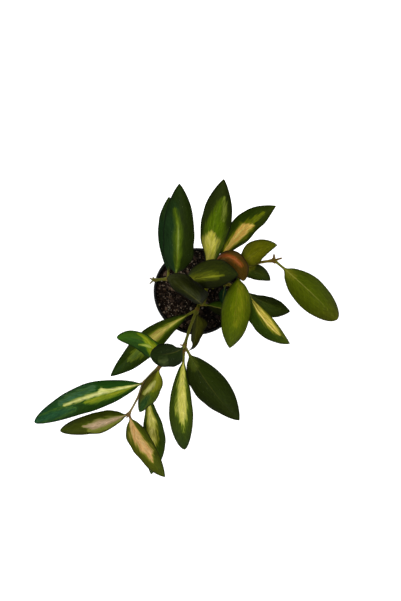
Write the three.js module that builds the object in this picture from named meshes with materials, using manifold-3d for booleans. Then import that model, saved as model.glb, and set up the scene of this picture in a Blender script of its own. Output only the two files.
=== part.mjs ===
// A small variegated hoya in a round black nursery pot. One vine trails over the rim at the front left, a
// short one reaches left, a long one carries the leaves at the back and right, and a fourth those at the
// side.
// Millimetres and degrees, +Z up, +Y to the back. The origin is the centre of the pot's flat underside, on
// the surface that it stands on.
import * as THREE from "three";
import { mergeVertices } from "three/addons/utils/BufferGeometryUtils.js";
import Module from "manifold-3d";

const wasm = await Module();
wasm.setup();

// ---- Driving dimensions ----

const POT = {
  height: 70,
  rimRadius: 40,
  baseRadius: 28,
  wall: 1.2,
  floor: 1.6,
  footBevel: 1.2,
  collarHeight: 9, // the stiffening collar under the rim
  collarStep: 1.4, // how far the collar stands out from the wall below it
  collarDraft: 0.4, // how much the collar widens towards its lip
  lip: 0.8, // how far the lip stands out from the collar
  lipDepth: 1.6,
  lipRound: 0.4,
  sides: 48,
};
const DRAIN = { count: 8, radius: 3, ring: 19, sides: 10 };

// The soil's top is a dome that is crown high, and has its shoulder part of the way out and down.
const SOIL = { top: 67, clearance: 0.3, crown: 1.5, shoulderOut: 0.55, shoulderDown: 0.4, sides: 32 };
const CHIPS = {
  count: 52,
  seed: 11,
  least: 1.3,
  most: 3.1,
  stretch: [1.25, 0.8, 0.7],
  sink: 0.45, // of its size, below the dome
  margin: 3.5, // kept free along the wall
};

const SEAT_GAP = 0.3; // between a stalk and its stem, and between a stem and the soil round it
const STEM = { sides: 8, step: 5, knee: 0.9, kneeReach: 3.2 };
const SPUR = { radius: 0.8, tip: 0.5, sides: 6 };
const PETIOLE = { radius: 1, flare: 7 };

// How thick a blade is at its midrib and edge, how deep the midrib's groove is, and how much the tip thins.
const BLADE = { midrib: 1.7, edge: 0.7, groove: 0.25, tipThinning: 0.45, steps: 13, leastHalfWidth: 0.4 };

// How full a blade's outline is at its base, and at a pointed and a blunt tip. Less is fuller.
const FULLNESS = { base: 0.8, pointed: 0.9, blunt: 0.5 };
const WELD = 1e-4; // points closer than this are one point

const BLACK = { color: 0x141412, roughness: 0.5, metalness: 0 };
const EARTH = { color: 0x2a1d15, roughness: 0.95, metalness: 0 };
const STALK = { color: 0x6d6a2c, roughness: 0.6, metalness: 0 };
const GREENS = {
  striped: { color: 0x7d8136, roughness: 0.45, metalness: 0 },
  plain: { color: 0x3c4f12, roughness: 0.45, metalness: 0 },
  dark: { color: 0x22330f, roughness: 0.4, metalness: 0 },
  copper: { color: 0x9a5526, roughness: 0.5, metalness: 0 },
};

// ---- The stems: points on each one's axis, from its foot in the soil, and its radius at foot and tip ----

const STEMS = {
  trailing: {
    foot: 1.8,
    tip: 1,
    points: [[2, -12, 50], [2, -12, 70], [0, -17, 86.5], [-6.2, -33, 96], [-10.8, -48.5, 100.5],
      [-11.5, -53, 101], [-33, -67, 96], [-48, -83, 86], [-54, -97, 77], [-63, -113.5, 66],
      [-64, -115.5, 64.8]],
    knees: [2, 4, 5, 6, 7, 9],
    spurs: [{ at: 4, heading: 165, rise: 25, length: 5 }, { at: 9, heading: -120, rise: -5, length: 4.5 }],
  },
  left: {
    foot: 1.8,
    tip: 1,
    points: [[7, -8, 50], [7, -8, 70], [4.5, -11.5, 84.5], [-7, 0, 95.5], [-15.5, 8, 100.5], [-19, 10.5, 102],
      [-25.5, 10.5, 104], [-38, 9.5, 107]],
    knees: [2, 4, 5, 6, 7],
    spurs: [{ at: 7, heading: 150, rise: 25, length: 4.5 }, { at: 7, heading: -135, rise: 5, length: 5 },
      { at: 7, heading: 95, rise: 30, length: 3.5 }],
  },
  right: {
    foot: 1.8,
    tip: 1,
    points: [[8.5, 1, 50], [8.5, 2, 70], [10, 12, 91], [13.5, 21, 97], [17.5, 24, 98.7], [28, 24, 101],
      [37, 20.5, 102.5], [41.5, 20.8, 103], [53, 24.5, 105.5], [68, 26.8, 106]],
    knees: [2, 3, 4, 6, 9],
    spurs: [{ at: 9, heading: 95, rise: 20, length: 6 }, { at: 9, heading: 17, rise: 15, length: 8 }],
  },
  side: {
    foot: 1.7,
    tip: 1.2,
    points: [[15, 3, 50], [15, 4, 70], [18.5, 7, 82], [25.5, 7, 89], [33, 4, 92.5], [41.5, 0.8, 93.6],
      [44.7, -0.5, 94]],
    knees: [3, 5, 6],
    spurs: [],
  },
};

// ---- The leaves ----
// heading is the compass of the leaf in plan, from +X towards +Y, and rise its slope. left and right are its
// half widths at 20, 40, 60 and 80% of the blade. bow is how far its midrib swings to its left, arch how far
// it humps, fold the slope of both halves up from the midrib, roll how much more the left half is lifted than
// that and the right half less, and blunt how round its tip is, from 0 to 1.

const PLAIN_LEAF = { petiole: 6, bow: 0, arch: 3, fold: 6, roll: 0, blunt: 0.3 };

const LEAVES = [
  { name: "back_left", stem: "left", at: 5, heading: 87, rise: 18, length: 85, tone: "dark",
    left: [9.5, 13, 13, 9.5], right: [11.3, 14, 13.2, 9.5], petiole: 8, bow: -1.5, arch: 7, fold: 12,
    roll: -4 },
  { name: "back_left_under", stem: "left", at: 6, heading: 89, rise: 5, length: 72, tone: "dark",
    left: [6.5, 10, 10.5, 8], right: [6, 9, 9, 7], bow: -1, arch: -3, roll: 6 },
  { name: "back_middle", stem: "right", at: 2, heading: 81, rise: 28.5, length: 94.5, tone: "striped",
    left: [4.5, 10, 11.5, 9], right: [5.5, 12.5, 15, 11.2], petiole: 8, bow: 2.5, arch: 7, fold: 10 },
  { name: "back_right", stem: "right", at: 4, heading: 44, rise: 16.5, length: 74, tone: "striped",
    left: [6.5, 10.5, 12.3, 8.5], right: [6, 9.8, 8.4, 6.8], bow: 5, arch: -2, fold: 8, blunt: 0 },
  { name: "copper", stem: "right", at: 3, heading: -24, rise: 19.6, length: 32, tone: "copper",
    left: [5.4, 7, 7.6, 7.2], right: [5, 8, 8, 6.5], petiole: 3, bow: 14, arch: 8, fold: 0, roll: -16,
    blunt: 0.8 },
  { name: "centre_right", stem: "left", at: 4, heading: 6.5, rise: 15.5, length: 54, tone: "striped",
    left: [7, 13.5, 15, 12], right: [4.5, 9.5, 10, 7], petiole: 8, bow: 1, arch: 5, fold: 0 },
  { name: "centre_left", stem: "left", at: 2, heading: 142, rise: 43, length: 52, tone: "dark",
    left: [3.5, 5, 7.5, 8.5], right: [10, 12, 12.5, 12], petiole: 7, arch: 14, fold: -5, roll: -20,
    blunt: 1 },
  { name: "low_right", stem: "left", at: 2, heading: -13, rise: -5.5, length: 41, tone: "dark",
    left: [5, 7, 7, 5], right: [5, 7, 7.5, 6], arch: 1, fold: 10 },
  { name: "curled", stem: "trailing", at: 2, heading: -99, rise: -20, length: 41, tone: "dark",
    left: [9, 6.6, 4.5, 3], right: [6, 7.2, 6.2, 1.5], petiole: 2.5, bow: 3, fold: 30, roll: -18, blunt: 0 },
  { name: "front_left", stem: "trailing", at: 2, heading: -142.5, rise: -11, length: 102.5, tone: "striped",
    left: [7, 12, 13.2, 10.2], right: [6.8, 10, 9, 5.2], petiole: 8, bow: -5, fold: 10 },
  { name: "front_right", stem: "right", at: 6, heading: -96, rise: -14, length: 74.5, tone: "plain",
    left: [11, 14, 13, 9.3], right: [9, 12.5, 11.6, 8.4], petiole: 8, bow: 1, arch: 8, fold: -5 },
  { name: "right_upper", stem: "right", at: 6, heading: 30.3, rise: 13.3, length: 39.5, tone: "plain",
    left: [6.2, 9.8, 9.2, 6.2], right: [8.6, 10, 7.6, 4.6], petiole: 2.5, bow: 4.5, arch: 2, fold: 0 },
  { name: "right_lower", stem: "right", at: 6, heading: -21.6, rise: -12.6, length: 31.3, tone: "dark",
    left: [6.2, 7, 6.8, 4.8], right: [6.5, 7, 6.4, 4], petiole: 2.5, bow: 2.3, arch: 1, fold: 0 },
  { name: "far_right", stem: "right", at: 9, heading: -42.5, rise: -6, length: 77.5, tone: "plain",
    left: [9, 13.1, 12.8, 10], right: [10.5, 14.5, 15, 11.6], petiole: 10, bow: 1, arch: 4, fold: -4,
    blunt: 1 },
  { name: "side_striped", stem: "side", at: 6, heading: -50, rise: -11, length: 62.5, tone: "striped",
    left: [5.5, 9, 8.4, 5.2], right: [11, 13.1, 12.2, 7.8], petiole: 5, bow: -3, arch: 5, fold: 30,
    roll: 26 },
  { name: "side_plain", stem: "side", at: 5, heading: -24, rise: -16, length: 49, tone: "dark",
    left: [2.8, 5.8, 7, 5.5], right: [6, 9, 11, 8], petiole: 4, bow: -2, arch: -2, fold: 4 },
  { name: "side_small", stem: "side", at: 3, heading: -100, rise: -8, length: 18, tone: "dark",
    left: [3.5, 4.5, 4, 3], right: [3.5, 4.5, 4, 3], petiole: 3, arch: 1 },
  { name: "trail_broad", stem: "trailing", at: 4, heading: -54.5, rise: -16, length: 88.5, tone: "dark",
    left: [10.5, 15.2, 15, 10.4], right: [12, 14.8, 12.6, 7.5], petiole: 8, bow: -3, arch: 5 },
  { name: "trail_striped", stem: "trailing", at: 5, heading: -90, rise: -19.5, length: 98.5, tone: "striped",
    left: [5, 7.8, 9.3, 7.2], right: [7.8, 11.8, 12.8, 9.8], petiole: 8, bow: -1, arch: 5, fold: 8,
    blunt: 0.8 },
  { name: "trail_upright", stem: "trailing", at: 4, heading: -168, rise: 41.5, length: 39.5, tone: "dark",
    left: [9.5, 12, 11.2, 10], right: [3.2, 7.6, 9.2, 8.6], bow: 3, arch: 5, fold: 5, blunt: 1 },
  { name: "trail_small_left", stem: "trailing", at: 6, heading: 146, rise: 4, length: 46, tone: "striped",
    left: [8, 9.3, 8.6, 6.4], right: [7, 6.3, 6.3, 5.6], petiole: 5, bow: -11, arch: 4, blunt: 0.8 },
  { name: "trail_small_right", stem: "trailing", at: 6, heading: -114, rise: -19, length: 49.5,
    tone: "striped", left: [7.6, 8.6, 8.3, 4.6], right: [4.6, 7, 7.5, 5.6], petiole: 2.5, bow: 1,
    blunt: 0.6 },
  { name: "trail_long", stem: "trailing", at: 7, heading: -159.5, rise: -10.5, length: 111, tone: "striped",
    left: [9.2, 12.4, 11.3, 8.6], right: [9, 13.8, 12.8, 8.8], petiole: 4, bow: -4.5, arch: 5, fold: 10,
    blunt: 0.8 },
  { name: "trail_under", stem: "trailing", at: 7, heading: -87.5, rise: -27.5, length: 103.5, tone: "striped",
    left: [5, 9.6, 11.5, 8.7], right: [5, 9, 9.5, 7.5], petiole: 12, bow: 5, arch: -3 },
  { name: "trail_pink", stem: "trailing", at: 9, heading: -165.5, rise: -7, length: 67.5, tone: "striped",
    left: [6, 9.2, 7.4, 5.3], right: [9, 11, 10.4, 8], petiole: 3, bow: 1.5, arch: 4, fold: 8, blunt: 0.8 },
  { name: "trail_peach", stem: "trailing", at: 9, heading: -61.5, rise: -10, length: 70, tone: "striped",
    left: [8, 10, 9.5, 6.5], right: [10, 10.5, 8.5, 6.5], petiole: 4.5, bow: -2.5, arch: 4, fold: 8 },
].map((leaf) => ({ ...PLAIN_LEAF, ...leaf }));

// ---- Solids from three.js geometry, and back ----

// A closed geometry as a solid that can be joined and cut.
function solidOf(geometry) {
  const bare = geometry.clone().deleteAttribute("normal").deleteAttribute("uv");
  const merged = mergeVertices(bare, WELD);
  return new wasm.Manifold(new wasm.Mesh({
    numProp: 3,
    vertProperties: merged.attributes.position.array,
    triVerts: new Uint32Array(merged.index.array),
  }));
}

// A solid as three.js geometry, with flat faces.
function geometryOf(solid) {
  const mesh = solid.getMesh();
  const geometry = new THREE.BufferGeometry();
  geometry.setAttribute("position", new THREE.BufferAttribute(mesh.vertProperties, 3));
  geometry.setIndex(new THREE.BufferAttribute(mesh.triVerts, 1));
  geometry.computeVertexNormals();
  return geometry;
}

// The largest body of a solid, without the scraps that a cut leaves.
function largestBody(solid) {
  return solid.decompose().reduce((best, body) => (body.volume() > best.volume() ? body : best));
}

// Closed skin through rings of points that run anticlockwise round the direction of travel. Where flipped(j)
// holds, the panel from point j to the next is split along its other diagonal.
function skin(rings, flipped = () => false) {
  const around = rings[0].length;
  const faces = [];
  rings.slice(1).forEach((_, i) => {
    for (let j = 0; j < around; j++) {
      const k = (j + 1) % around;
      const [a, b] = [i * around + j, i * around + k];
      const [c, d] = [b + around, a + around];
      faces.push(...(flipped(j) ? [a, b, d, b, c, d] : [a, b, c, a, c, d]));
    }
  });
  const last = (rings.length - 1) * around;
  for (let j = 1; j < around - 1; j++) {
    faces.push(0, j + 1, j);
    faces.push(last, last + j, last + j + 1);
  }
  const geometry = new THREE.BufferGeometry();
  geometry.setFromPoints(rings.flat());
  geometry.setIndex(faces);
  return geometry;
}

// Unit vectors to the left of, and above, a direction of travel, where above says which side is up.
function leftAndUp(travel, above = new THREE.Vector3(0, 0, 1)) {
  const left = new THREE.Vector3().crossVectors(above, travel).normalize();
  return [left, new THREE.Vector3().crossVectors(travel, left)];
}

// A ring of points round a centre, anticlockwise from the first of two cross directions to the second.
function ringAround(centre, across, up, radius, sides) {
  return Array.from({ length: sides }, (_, j) => {
    const angle = (2 * Math.PI * j) / sides;
    return centre.clone()
      .addScaledVector(across, radius * Math.cos(angle))
      .addScaledVector(up, radius * Math.sin(angle));
  });
}

// A repeatable random number source, from 0 to 1.
function seeded(seed) {
  let state = seed;
  return () => {
    state = (state * 1664525 + 1013904223) % 4294967296;
    return state / 4294967296;
  };
}

// ---- Pot and soil ----

// Outer radius of the pot's tapered wall at a height.
function wallRadius(z) {
  const top = POT.rimRadius - POT.collarStep - POT.lip;
  return THREE.MathUtils.mapLinear(z, 0, POT.height, POT.baseRadius, top);
}

function potGeometry() {
  const under = POT.height - POT.collarHeight;
  const collar = POT.rimRadius - POT.lip;
  const profile = [
    [0, 0],
    [wallRadius(0) - POT.footBevel, 0],
    [wallRadius(0), POT.footBevel],
    [wallRadius(under), under],
    [collar - POT.collarDraft, under],
    [collar, POT.height - POT.lipDepth - POT.lipRound],
    [POT.rimRadius, POT.height - POT.lipDepth],
    [POT.rimRadius, POT.height - POT.lipRound],
    [POT.rimRadius - POT.lipRound, POT.height],
    [collar - POT.wall, POT.height],
    [collar - POT.wall, under + POT.wall],
    [wallRadius(under) - POT.wall, under],
    [wallRadius(POT.floor) - POT.wall, POT.floor],
    [0, POT.floor],
  ].map(([r, z]) => new THREE.Vector2(r, z));
  let pot = solidOf(new THREE.LatheGeometry(profile, POT.sides).rotateX(Math.PI / 2));
  for (let i = 0; i < DRAIN.count; i++) {
    const angle = (2 * Math.PI * (i + 0.5)) / DRAIN.count;
    const hole = new THREE.CylinderGeometry(DRAIN.radius, DRAIN.radius, 4 * POT.floor, DRAIN.sides)
      .rotateX(Math.PI / 2)
      .translate(DRAIN.ring * Math.cos(angle), DRAIN.ring * Math.sin(angle), POT.floor / 2);
    pot = pot.subtract(solidOf(hole));
  }
  return geometryOf(pot);
}

// The potting mix: a domed plug in the pot, with chips of bark and perlite half sunk in its top.
function soilGeometry(holes) {
  const inside = (z) => wallRadius(z) - POT.wall - SOIL.clearance;
  const bottom = POT.floor + SOIL.clearance;
  const edge = SOIL.top - SOIL.crown;
  const profile = [
    [0, bottom],
    [inside(bottom), bottom],
    [inside(POT.height - POT.collarHeight) - SOIL.clearance, edge],
    [inside(edge) * SOIL.shoulderOut, SOIL.top - SOIL.shoulderDown * SOIL.crown],
    [0, SOIL.top],
  ].map(([r, z]) => new THREE.Vector2(r, z));
  let soil = solidOf(new THREE.LatheGeometry(profile, SOIL.sides).rotateX(Math.PI / 2));
  const random = seeded(CHIPS.seed);
  for (let i = 0; i < CHIPS.count; i++) {
    const size = THREE.MathUtils.lerp(CHIPS.least, CHIPS.most, random() ** 2);
    const reach = Math.sqrt(random()) * (inside(edge) - CHIPS.margin);
    const angle = 2 * Math.PI * random();
    const chip = new THREE.DodecahedronGeometry(size)
      .scale(...CHIPS.stretch)
      .rotateZ(2 * Math.PI * random())
      .translate(reach * Math.cos(angle), reach * Math.sin(angle),
        SOIL.top - SOIL.crown * (reach / inside(edge)) ** 2 - CHIPS.sink * size);
    soil = soil.add(solidOf(chip));
  }
  return geometryOf(largestBody(holes.reduce((left, hole) => left.subtract(hole), soil)));
}

// ---- Stems and leaves ----

function direction(heading, rise) {
  const [h, r] = [heading, rise].map(THREE.MathUtils.degToRad);
  return new THREE.Vector3(Math.cos(h) * Math.cos(r), Math.sin(h) * Math.cos(r), Math.sin(r));
}

const stemPoint = (stem, index) => new THREE.Vector3(...STEMS[stem].points[index]);

// A round stem, thicker at the knees where leaves sit, and grown all over by spare.
function stemSolid(name, spare = 0) {
  const stem = STEMS[name];
  const points = stem.points.map((p) => new THREE.Vector3(...p));
  const curve = new THREE.CatmullRomCurve3(points, false, "centripetal");
  const steps = Math.round(curve.getLength() / STEM.step);
  const frames = curve.computeFrenetFrames(steps);
  const rings = frames.tangents.map((along, i) => {
    const beyond = { 0: -spare, [steps]: spare }[i] ?? 0;
    const centre = curve.getPointAt(i / steps).addScaledVector(along, beyond);
    const nearest = Math.min(...stem.knees.map((k) => centre.distanceTo(stemPoint(name, k))));
    const knee = STEM.knee * Math.exp(-((nearest / STEM.kneeReach) ** 2));
    const radius = THREE.MathUtils.lerp(stem.foot, stem.tip, i / steps) + knee + spare;
    return ringAround(centre, frames.normals[i], frames.binormals[i], radius, STEM.sides);
  });
  let solid = solidOf(skin(rings));
  for (const spur of stem.spurs) {
    const along = direction(spur.heading, spur.rise);
    const start = stemPoint(name, spur.at).addScaledVector(along, -spare);
    const end = start.clone().addScaledVector(along, spur.length + 2 * spare);
    const [left, up] = leftAndUp(along);
    const rings = [[start, SPUR.radius], [end, SPUR.tip]]
      .map(([centre, radius]) => ringAround(centre, left, up, radius + spare, SPUR.sides));
    solid = solid.add(solidOf(skin(rings)));
  }
  return solid;
}

// The midrib of a leaf, from the axis of its stem to the tip of the blade.
function midrib(leaf) {
  const start = stemPoint(leaf.stem, leaf.at);
  const along = direction(leaf.heading, leaf.rise);
  const [left, up] = leftAndUp(along);
  const end = start.clone().addScaledVector(along, leaf.length);
  const hump = start.clone().lerp(end, 0.5)
    .addScaledVector(left, 2 * leaf.bow)
    .addScaledVector(up, 2 * leaf.arch);
  return new THREE.QuadraticBezierCurve3(start, hump, end);
}

// How full the outline is at a share u of the blade: round at the base, and as blunt as the leaf asks at the
// tip.
function fullness(leaf, u) {
  const tip = THREE.MathUtils.lerp(FULLNESS.pointed, FULLNESS.blunt, leaf.blunt);
  return Math.sin(Math.PI * u) ** (u < 0.5 ? FULLNESS.base : tip);
}

// Half the blade's width at a share u of its length, from the half widths measured at four even places.
function halfWidth(leaf, halves, u) {
  if (u <= 0 || u >= 1) {
    return BLADE.leastHalfWidth;
  }
  const place = THREE.MathUtils.clamp(u * (halves.length + 1) - 1, 0, halves.length - 1);
  const below = Math.min(Math.floor(place), halves.length - 2);
  const [lower, upper] = [below, below + 1]
    .map((i) => halves[i] / fullness(leaf, (i + 1) / (halves.length + 1)));
  const share = THREE.MathUtils.smoothstep(place - below, 0, 1);
  return Math.max(BLADE.leastHalfWidth, THREE.MathUtils.lerp(lower, upper, share) * fullness(leaf, u));
}

// One leaf: a round stalk that flattens into a thick blade with a grooved midrib.
function leafGeometry(leaf) {
  const curve = midrib(leaf);
  const total = curve.getLength();
  const bladeStart = leaf.petiole / total;
  const bladeSteps = Array.from({ length: BLADE.steps + 1 }, (_, i) => i / BLADE.steps);
  const places = [0, 0.5 * bladeStart, ...bladeSteps.map((u) => bladeStart + (1 - bladeStart) * u)];
  const across = [1, 0.5, 0, -0.5, -1];
  const columns = [...across.map((v) => [v, 1]), ...across.toReversed().map((v) => [v, -1])];
  const [, above] = leftAndUp(direction(leaf.heading, leaf.rise));
  const rings = places.map((t) => {
    const centre = curve.getPointAt(t);
    const [left, up] = leftAndUp(curve.getTangentAt(t), above);
    const u = THREE.MathUtils.clamp((t - bladeStart) / (1 - bladeStart), 0, 1);
    const flat = THREE.MathUtils.smoothstep(u * (total - leaf.petiole), 0, PETIOLE.flare);
    return columns.map(([v, face], j) => {
      const half = halfWidth(leaf, v > 0 ? leaf.left : leaf.right, u);
      const reach = v * Math.max(half, PETIOLE.radius * (1 - u));
      const slope = THREE.MathUtils.degToRad(leaf.fold + Math.sign(v) * leaf.roll);
      const thick = THREE.MathUtils.lerp(BLADE.midrib, BLADE.edge, Math.abs(v)) * (1 - BLADE.tipThinning * u);
      const lift = Math.abs(reach) * Math.sin(slope) + (face * thick) / 2 - (v === 0 ? BLADE.groove : 0);
      const angle = (2 * Math.PI * (j + 0.5)) / columns.length;
      const [roundOut, roundUp] = [PETIOLE.radius * Math.cos(angle), PETIOLE.radius * Math.sin(angle)];
      return centre.clone()
        .addScaledVector(left, THREE.MathUtils.lerp(roundOut, reach * Math.cos(slope), flat))
        .addScaledVector(up, THREE.MathUtils.lerp(roundUp, lift, flat));
    });
  });
  return skin(rings, (j) => j >= across.length);
}

// ---- The whole plant in its pot ----

function named(name, geometry, look) {
  const mesh = new THREE.Mesh(geometry, new THREE.MeshStandardMaterial(look));
  mesh.name = name;
  return mesh;
}

const plant = new THREE.Group();
const sockets = Object.fromEntries(Object.keys(STEMS).map((name) => [name, stemSolid(name, SEAT_GAP)]));
plant.add(named("pot", potGeometry(), BLACK));
plant.add(named("soil", soilGeometry(Object.values(sockets)), EARTH));
for (const name of Object.keys(STEMS)) {
  plant.add(named("stem_" + name, geometryOf(stemSolid(name)), STALK));
}
for (const leaf of LEAVES) {
  const seated = largestBody(solidOf(leafGeometry(leaf)).subtract(sockets[leaf.stem]));
  plant.add(named("leaf_" + leaf.name, geometryOf(seated), GREENS[leaf.tone]));
}

export default plant;
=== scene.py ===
"""A small variegated hoya in a round black nursery pot, seen from straight above.

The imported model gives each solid's place. A finer piece is made here for every leaf and vine, for the pot
and for the potting mix, in the same frame. The dataclasses hold millimetres and degrees, and a mesh is made
in metres.
"""

import logging
import math
import random
from collections.abc import Sequence
from dataclasses import dataclass
from enum import Enum
from typing import Any

import bmesh
import bpy
import numpy as np
from mathutils import Matrix, Vector, noise


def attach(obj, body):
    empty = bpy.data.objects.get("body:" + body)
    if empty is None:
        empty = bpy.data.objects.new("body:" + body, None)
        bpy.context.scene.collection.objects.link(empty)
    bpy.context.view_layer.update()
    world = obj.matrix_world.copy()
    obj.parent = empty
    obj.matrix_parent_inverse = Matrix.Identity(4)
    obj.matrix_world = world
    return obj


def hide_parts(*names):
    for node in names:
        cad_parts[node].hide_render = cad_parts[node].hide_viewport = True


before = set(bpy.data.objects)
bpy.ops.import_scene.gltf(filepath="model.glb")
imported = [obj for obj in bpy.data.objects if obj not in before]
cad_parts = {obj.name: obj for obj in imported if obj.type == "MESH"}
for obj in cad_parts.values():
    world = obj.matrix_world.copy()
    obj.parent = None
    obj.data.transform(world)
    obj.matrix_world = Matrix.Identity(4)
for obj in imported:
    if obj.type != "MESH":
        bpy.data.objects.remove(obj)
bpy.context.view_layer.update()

log = logging.getLogger("hoya")

MM = 0.001
CM_IN_MM = 10
# How far the noise of the first leaf is slid, and how much further that of each next leaf.
PATTERN_START = 1.0
PATTERN_STEP = 2.3

Colour = tuple[float, float, float]
Point = tuple[float, float, float]
Span = tuple[float, float]


class Slot(Enum):
    """The record's material slots."""

    POT = "pot_plastic"
    MIX = "potting_mix"
    STEM = "stem"
    STRIPED = "leaf_striped"
    PLAIN = "leaf_plain"
    DARK = "leaf_dark"
    COPPER = "leaf_copper"


def pigment(code: str) -> Colour:
    """Turns a screen colour into the linear values that shaders use.

    Args:
        code: six hexadecimal digits.

    Returns:
        Red, green and blue from 0 to 1.
    """
    channels = [int(code[i : i + 2], 16) / 255 for i in (0, 2, 4)]
    red, green, blue = (c / 12.92 if c <= 0.04045 else ((c + 0.055) / 1.055) ** 2.4 for c in channels)
    return red, green, blue


def smoothstep(value: np.ndarray) -> np.ndarray:
    """A soft step from 0 to 1, as value goes from 0 to 1."""
    held = np.clip(value, 0.0, 1.0)
    return held * held * (3 - 2 * held)


def unit(vectors: np.ndarray) -> np.ndarray:
    """The vectors of an array's last axis, each made 1 long."""
    return vectors / np.linalg.norm(vectors, axis=-1, keepdims=True)


def direction(heading: float, rise: float) -> np.ndarray:
    """The unit vector of a compass heading in plan, from +X towards +Y, and a slope."""
    h, r = math.radians(heading), math.radians(rise)
    return np.array([math.cos(h) * math.cos(r), math.sin(h) * math.cos(r), math.sin(r)])


def crossings(along: np.ndarray) -> tuple[np.ndarray, np.ndarray]:
    """The level direction to the left of a straight line, and the one up out of it."""
    left = unit(np.cross([0.0, 0.0, 1.0], along))
    return left, np.cross(along, left)


def lengths_along(line: np.ndarray) -> np.ndarray:
    """The distance from a line's start to each of its points."""
    return np.concatenate([[0], np.cumsum(np.linalg.norm(np.diff(line, axis=0), axis=1))])


def read_along(run: np.ndarray, values: np.ndarray, at: np.ndarray) -> np.ndarray:
    """Vectors that are known at distances run along a line, read at other distances."""
    return np.stack([np.interp(at, run, values[:, axis]) for axis in range(3)], axis=1)


# ---- Shader building ----


class Signal:
    """A value that runs through a material, with arithmetic for numbers."""

    def __init__(self, shader: "Shader", socket: bpy.types.NodeSocket) -> None:
        """Keeps the socket that the value comes from."""
        self.shader = shader
        self.socket = socket

    def _math(self, operation: str, *values: "Signal | float") -> "Signal":
        """A Math node on the values, as its result."""
        made = self.shader.node("ShaderNodeMath", {"operation": operation}, dict(enumerate(values)))
        return self.shader.out(made)

    def __add__(self, other: "Signal | float") -> "Signal":
        """Sum."""
        return self._math("ADD", self, other)

    __radd__ = __add__

    def __sub__(self, other: "Signal | float") -> "Signal":
        """Difference."""
        return self._math("SUBTRACT", self, other)

    def __rsub__(self, other: float) -> "Signal":
        """Difference from a plain number."""
        return self._math("SUBTRACT", other, self)

    def __mul__(self, other: "Signal | float") -> "Signal":
        """Product."""
        return self._math("MULTIPLY", self, other)

    __rmul__ = __mul__

    def __neg__(self) -> "Signal":
        """The value with its sign turned."""
        return self._math("MULTIPLY", self, -1.0)

    def __abs__(self) -> "Signal":
        """Size without sign."""
        return self._math("ABSOLUTE", self)

    def sine(self) -> "Signal":
        """Sine of an angle in radians."""
        return self._math("SINE", self)

    def ease(self, low: float, high: float) -> "Signal":
        """A soft step that goes from 0 at low to 1 at high."""
        settings = {"interpolation_type": "SMOOTHSTEP"}
        return self.shader.out(self.shader.node("ShaderNodeMapRange", settings, {0: self, 1: low, 2: high}))


Value = Signal | float | Sequence[float]


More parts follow.
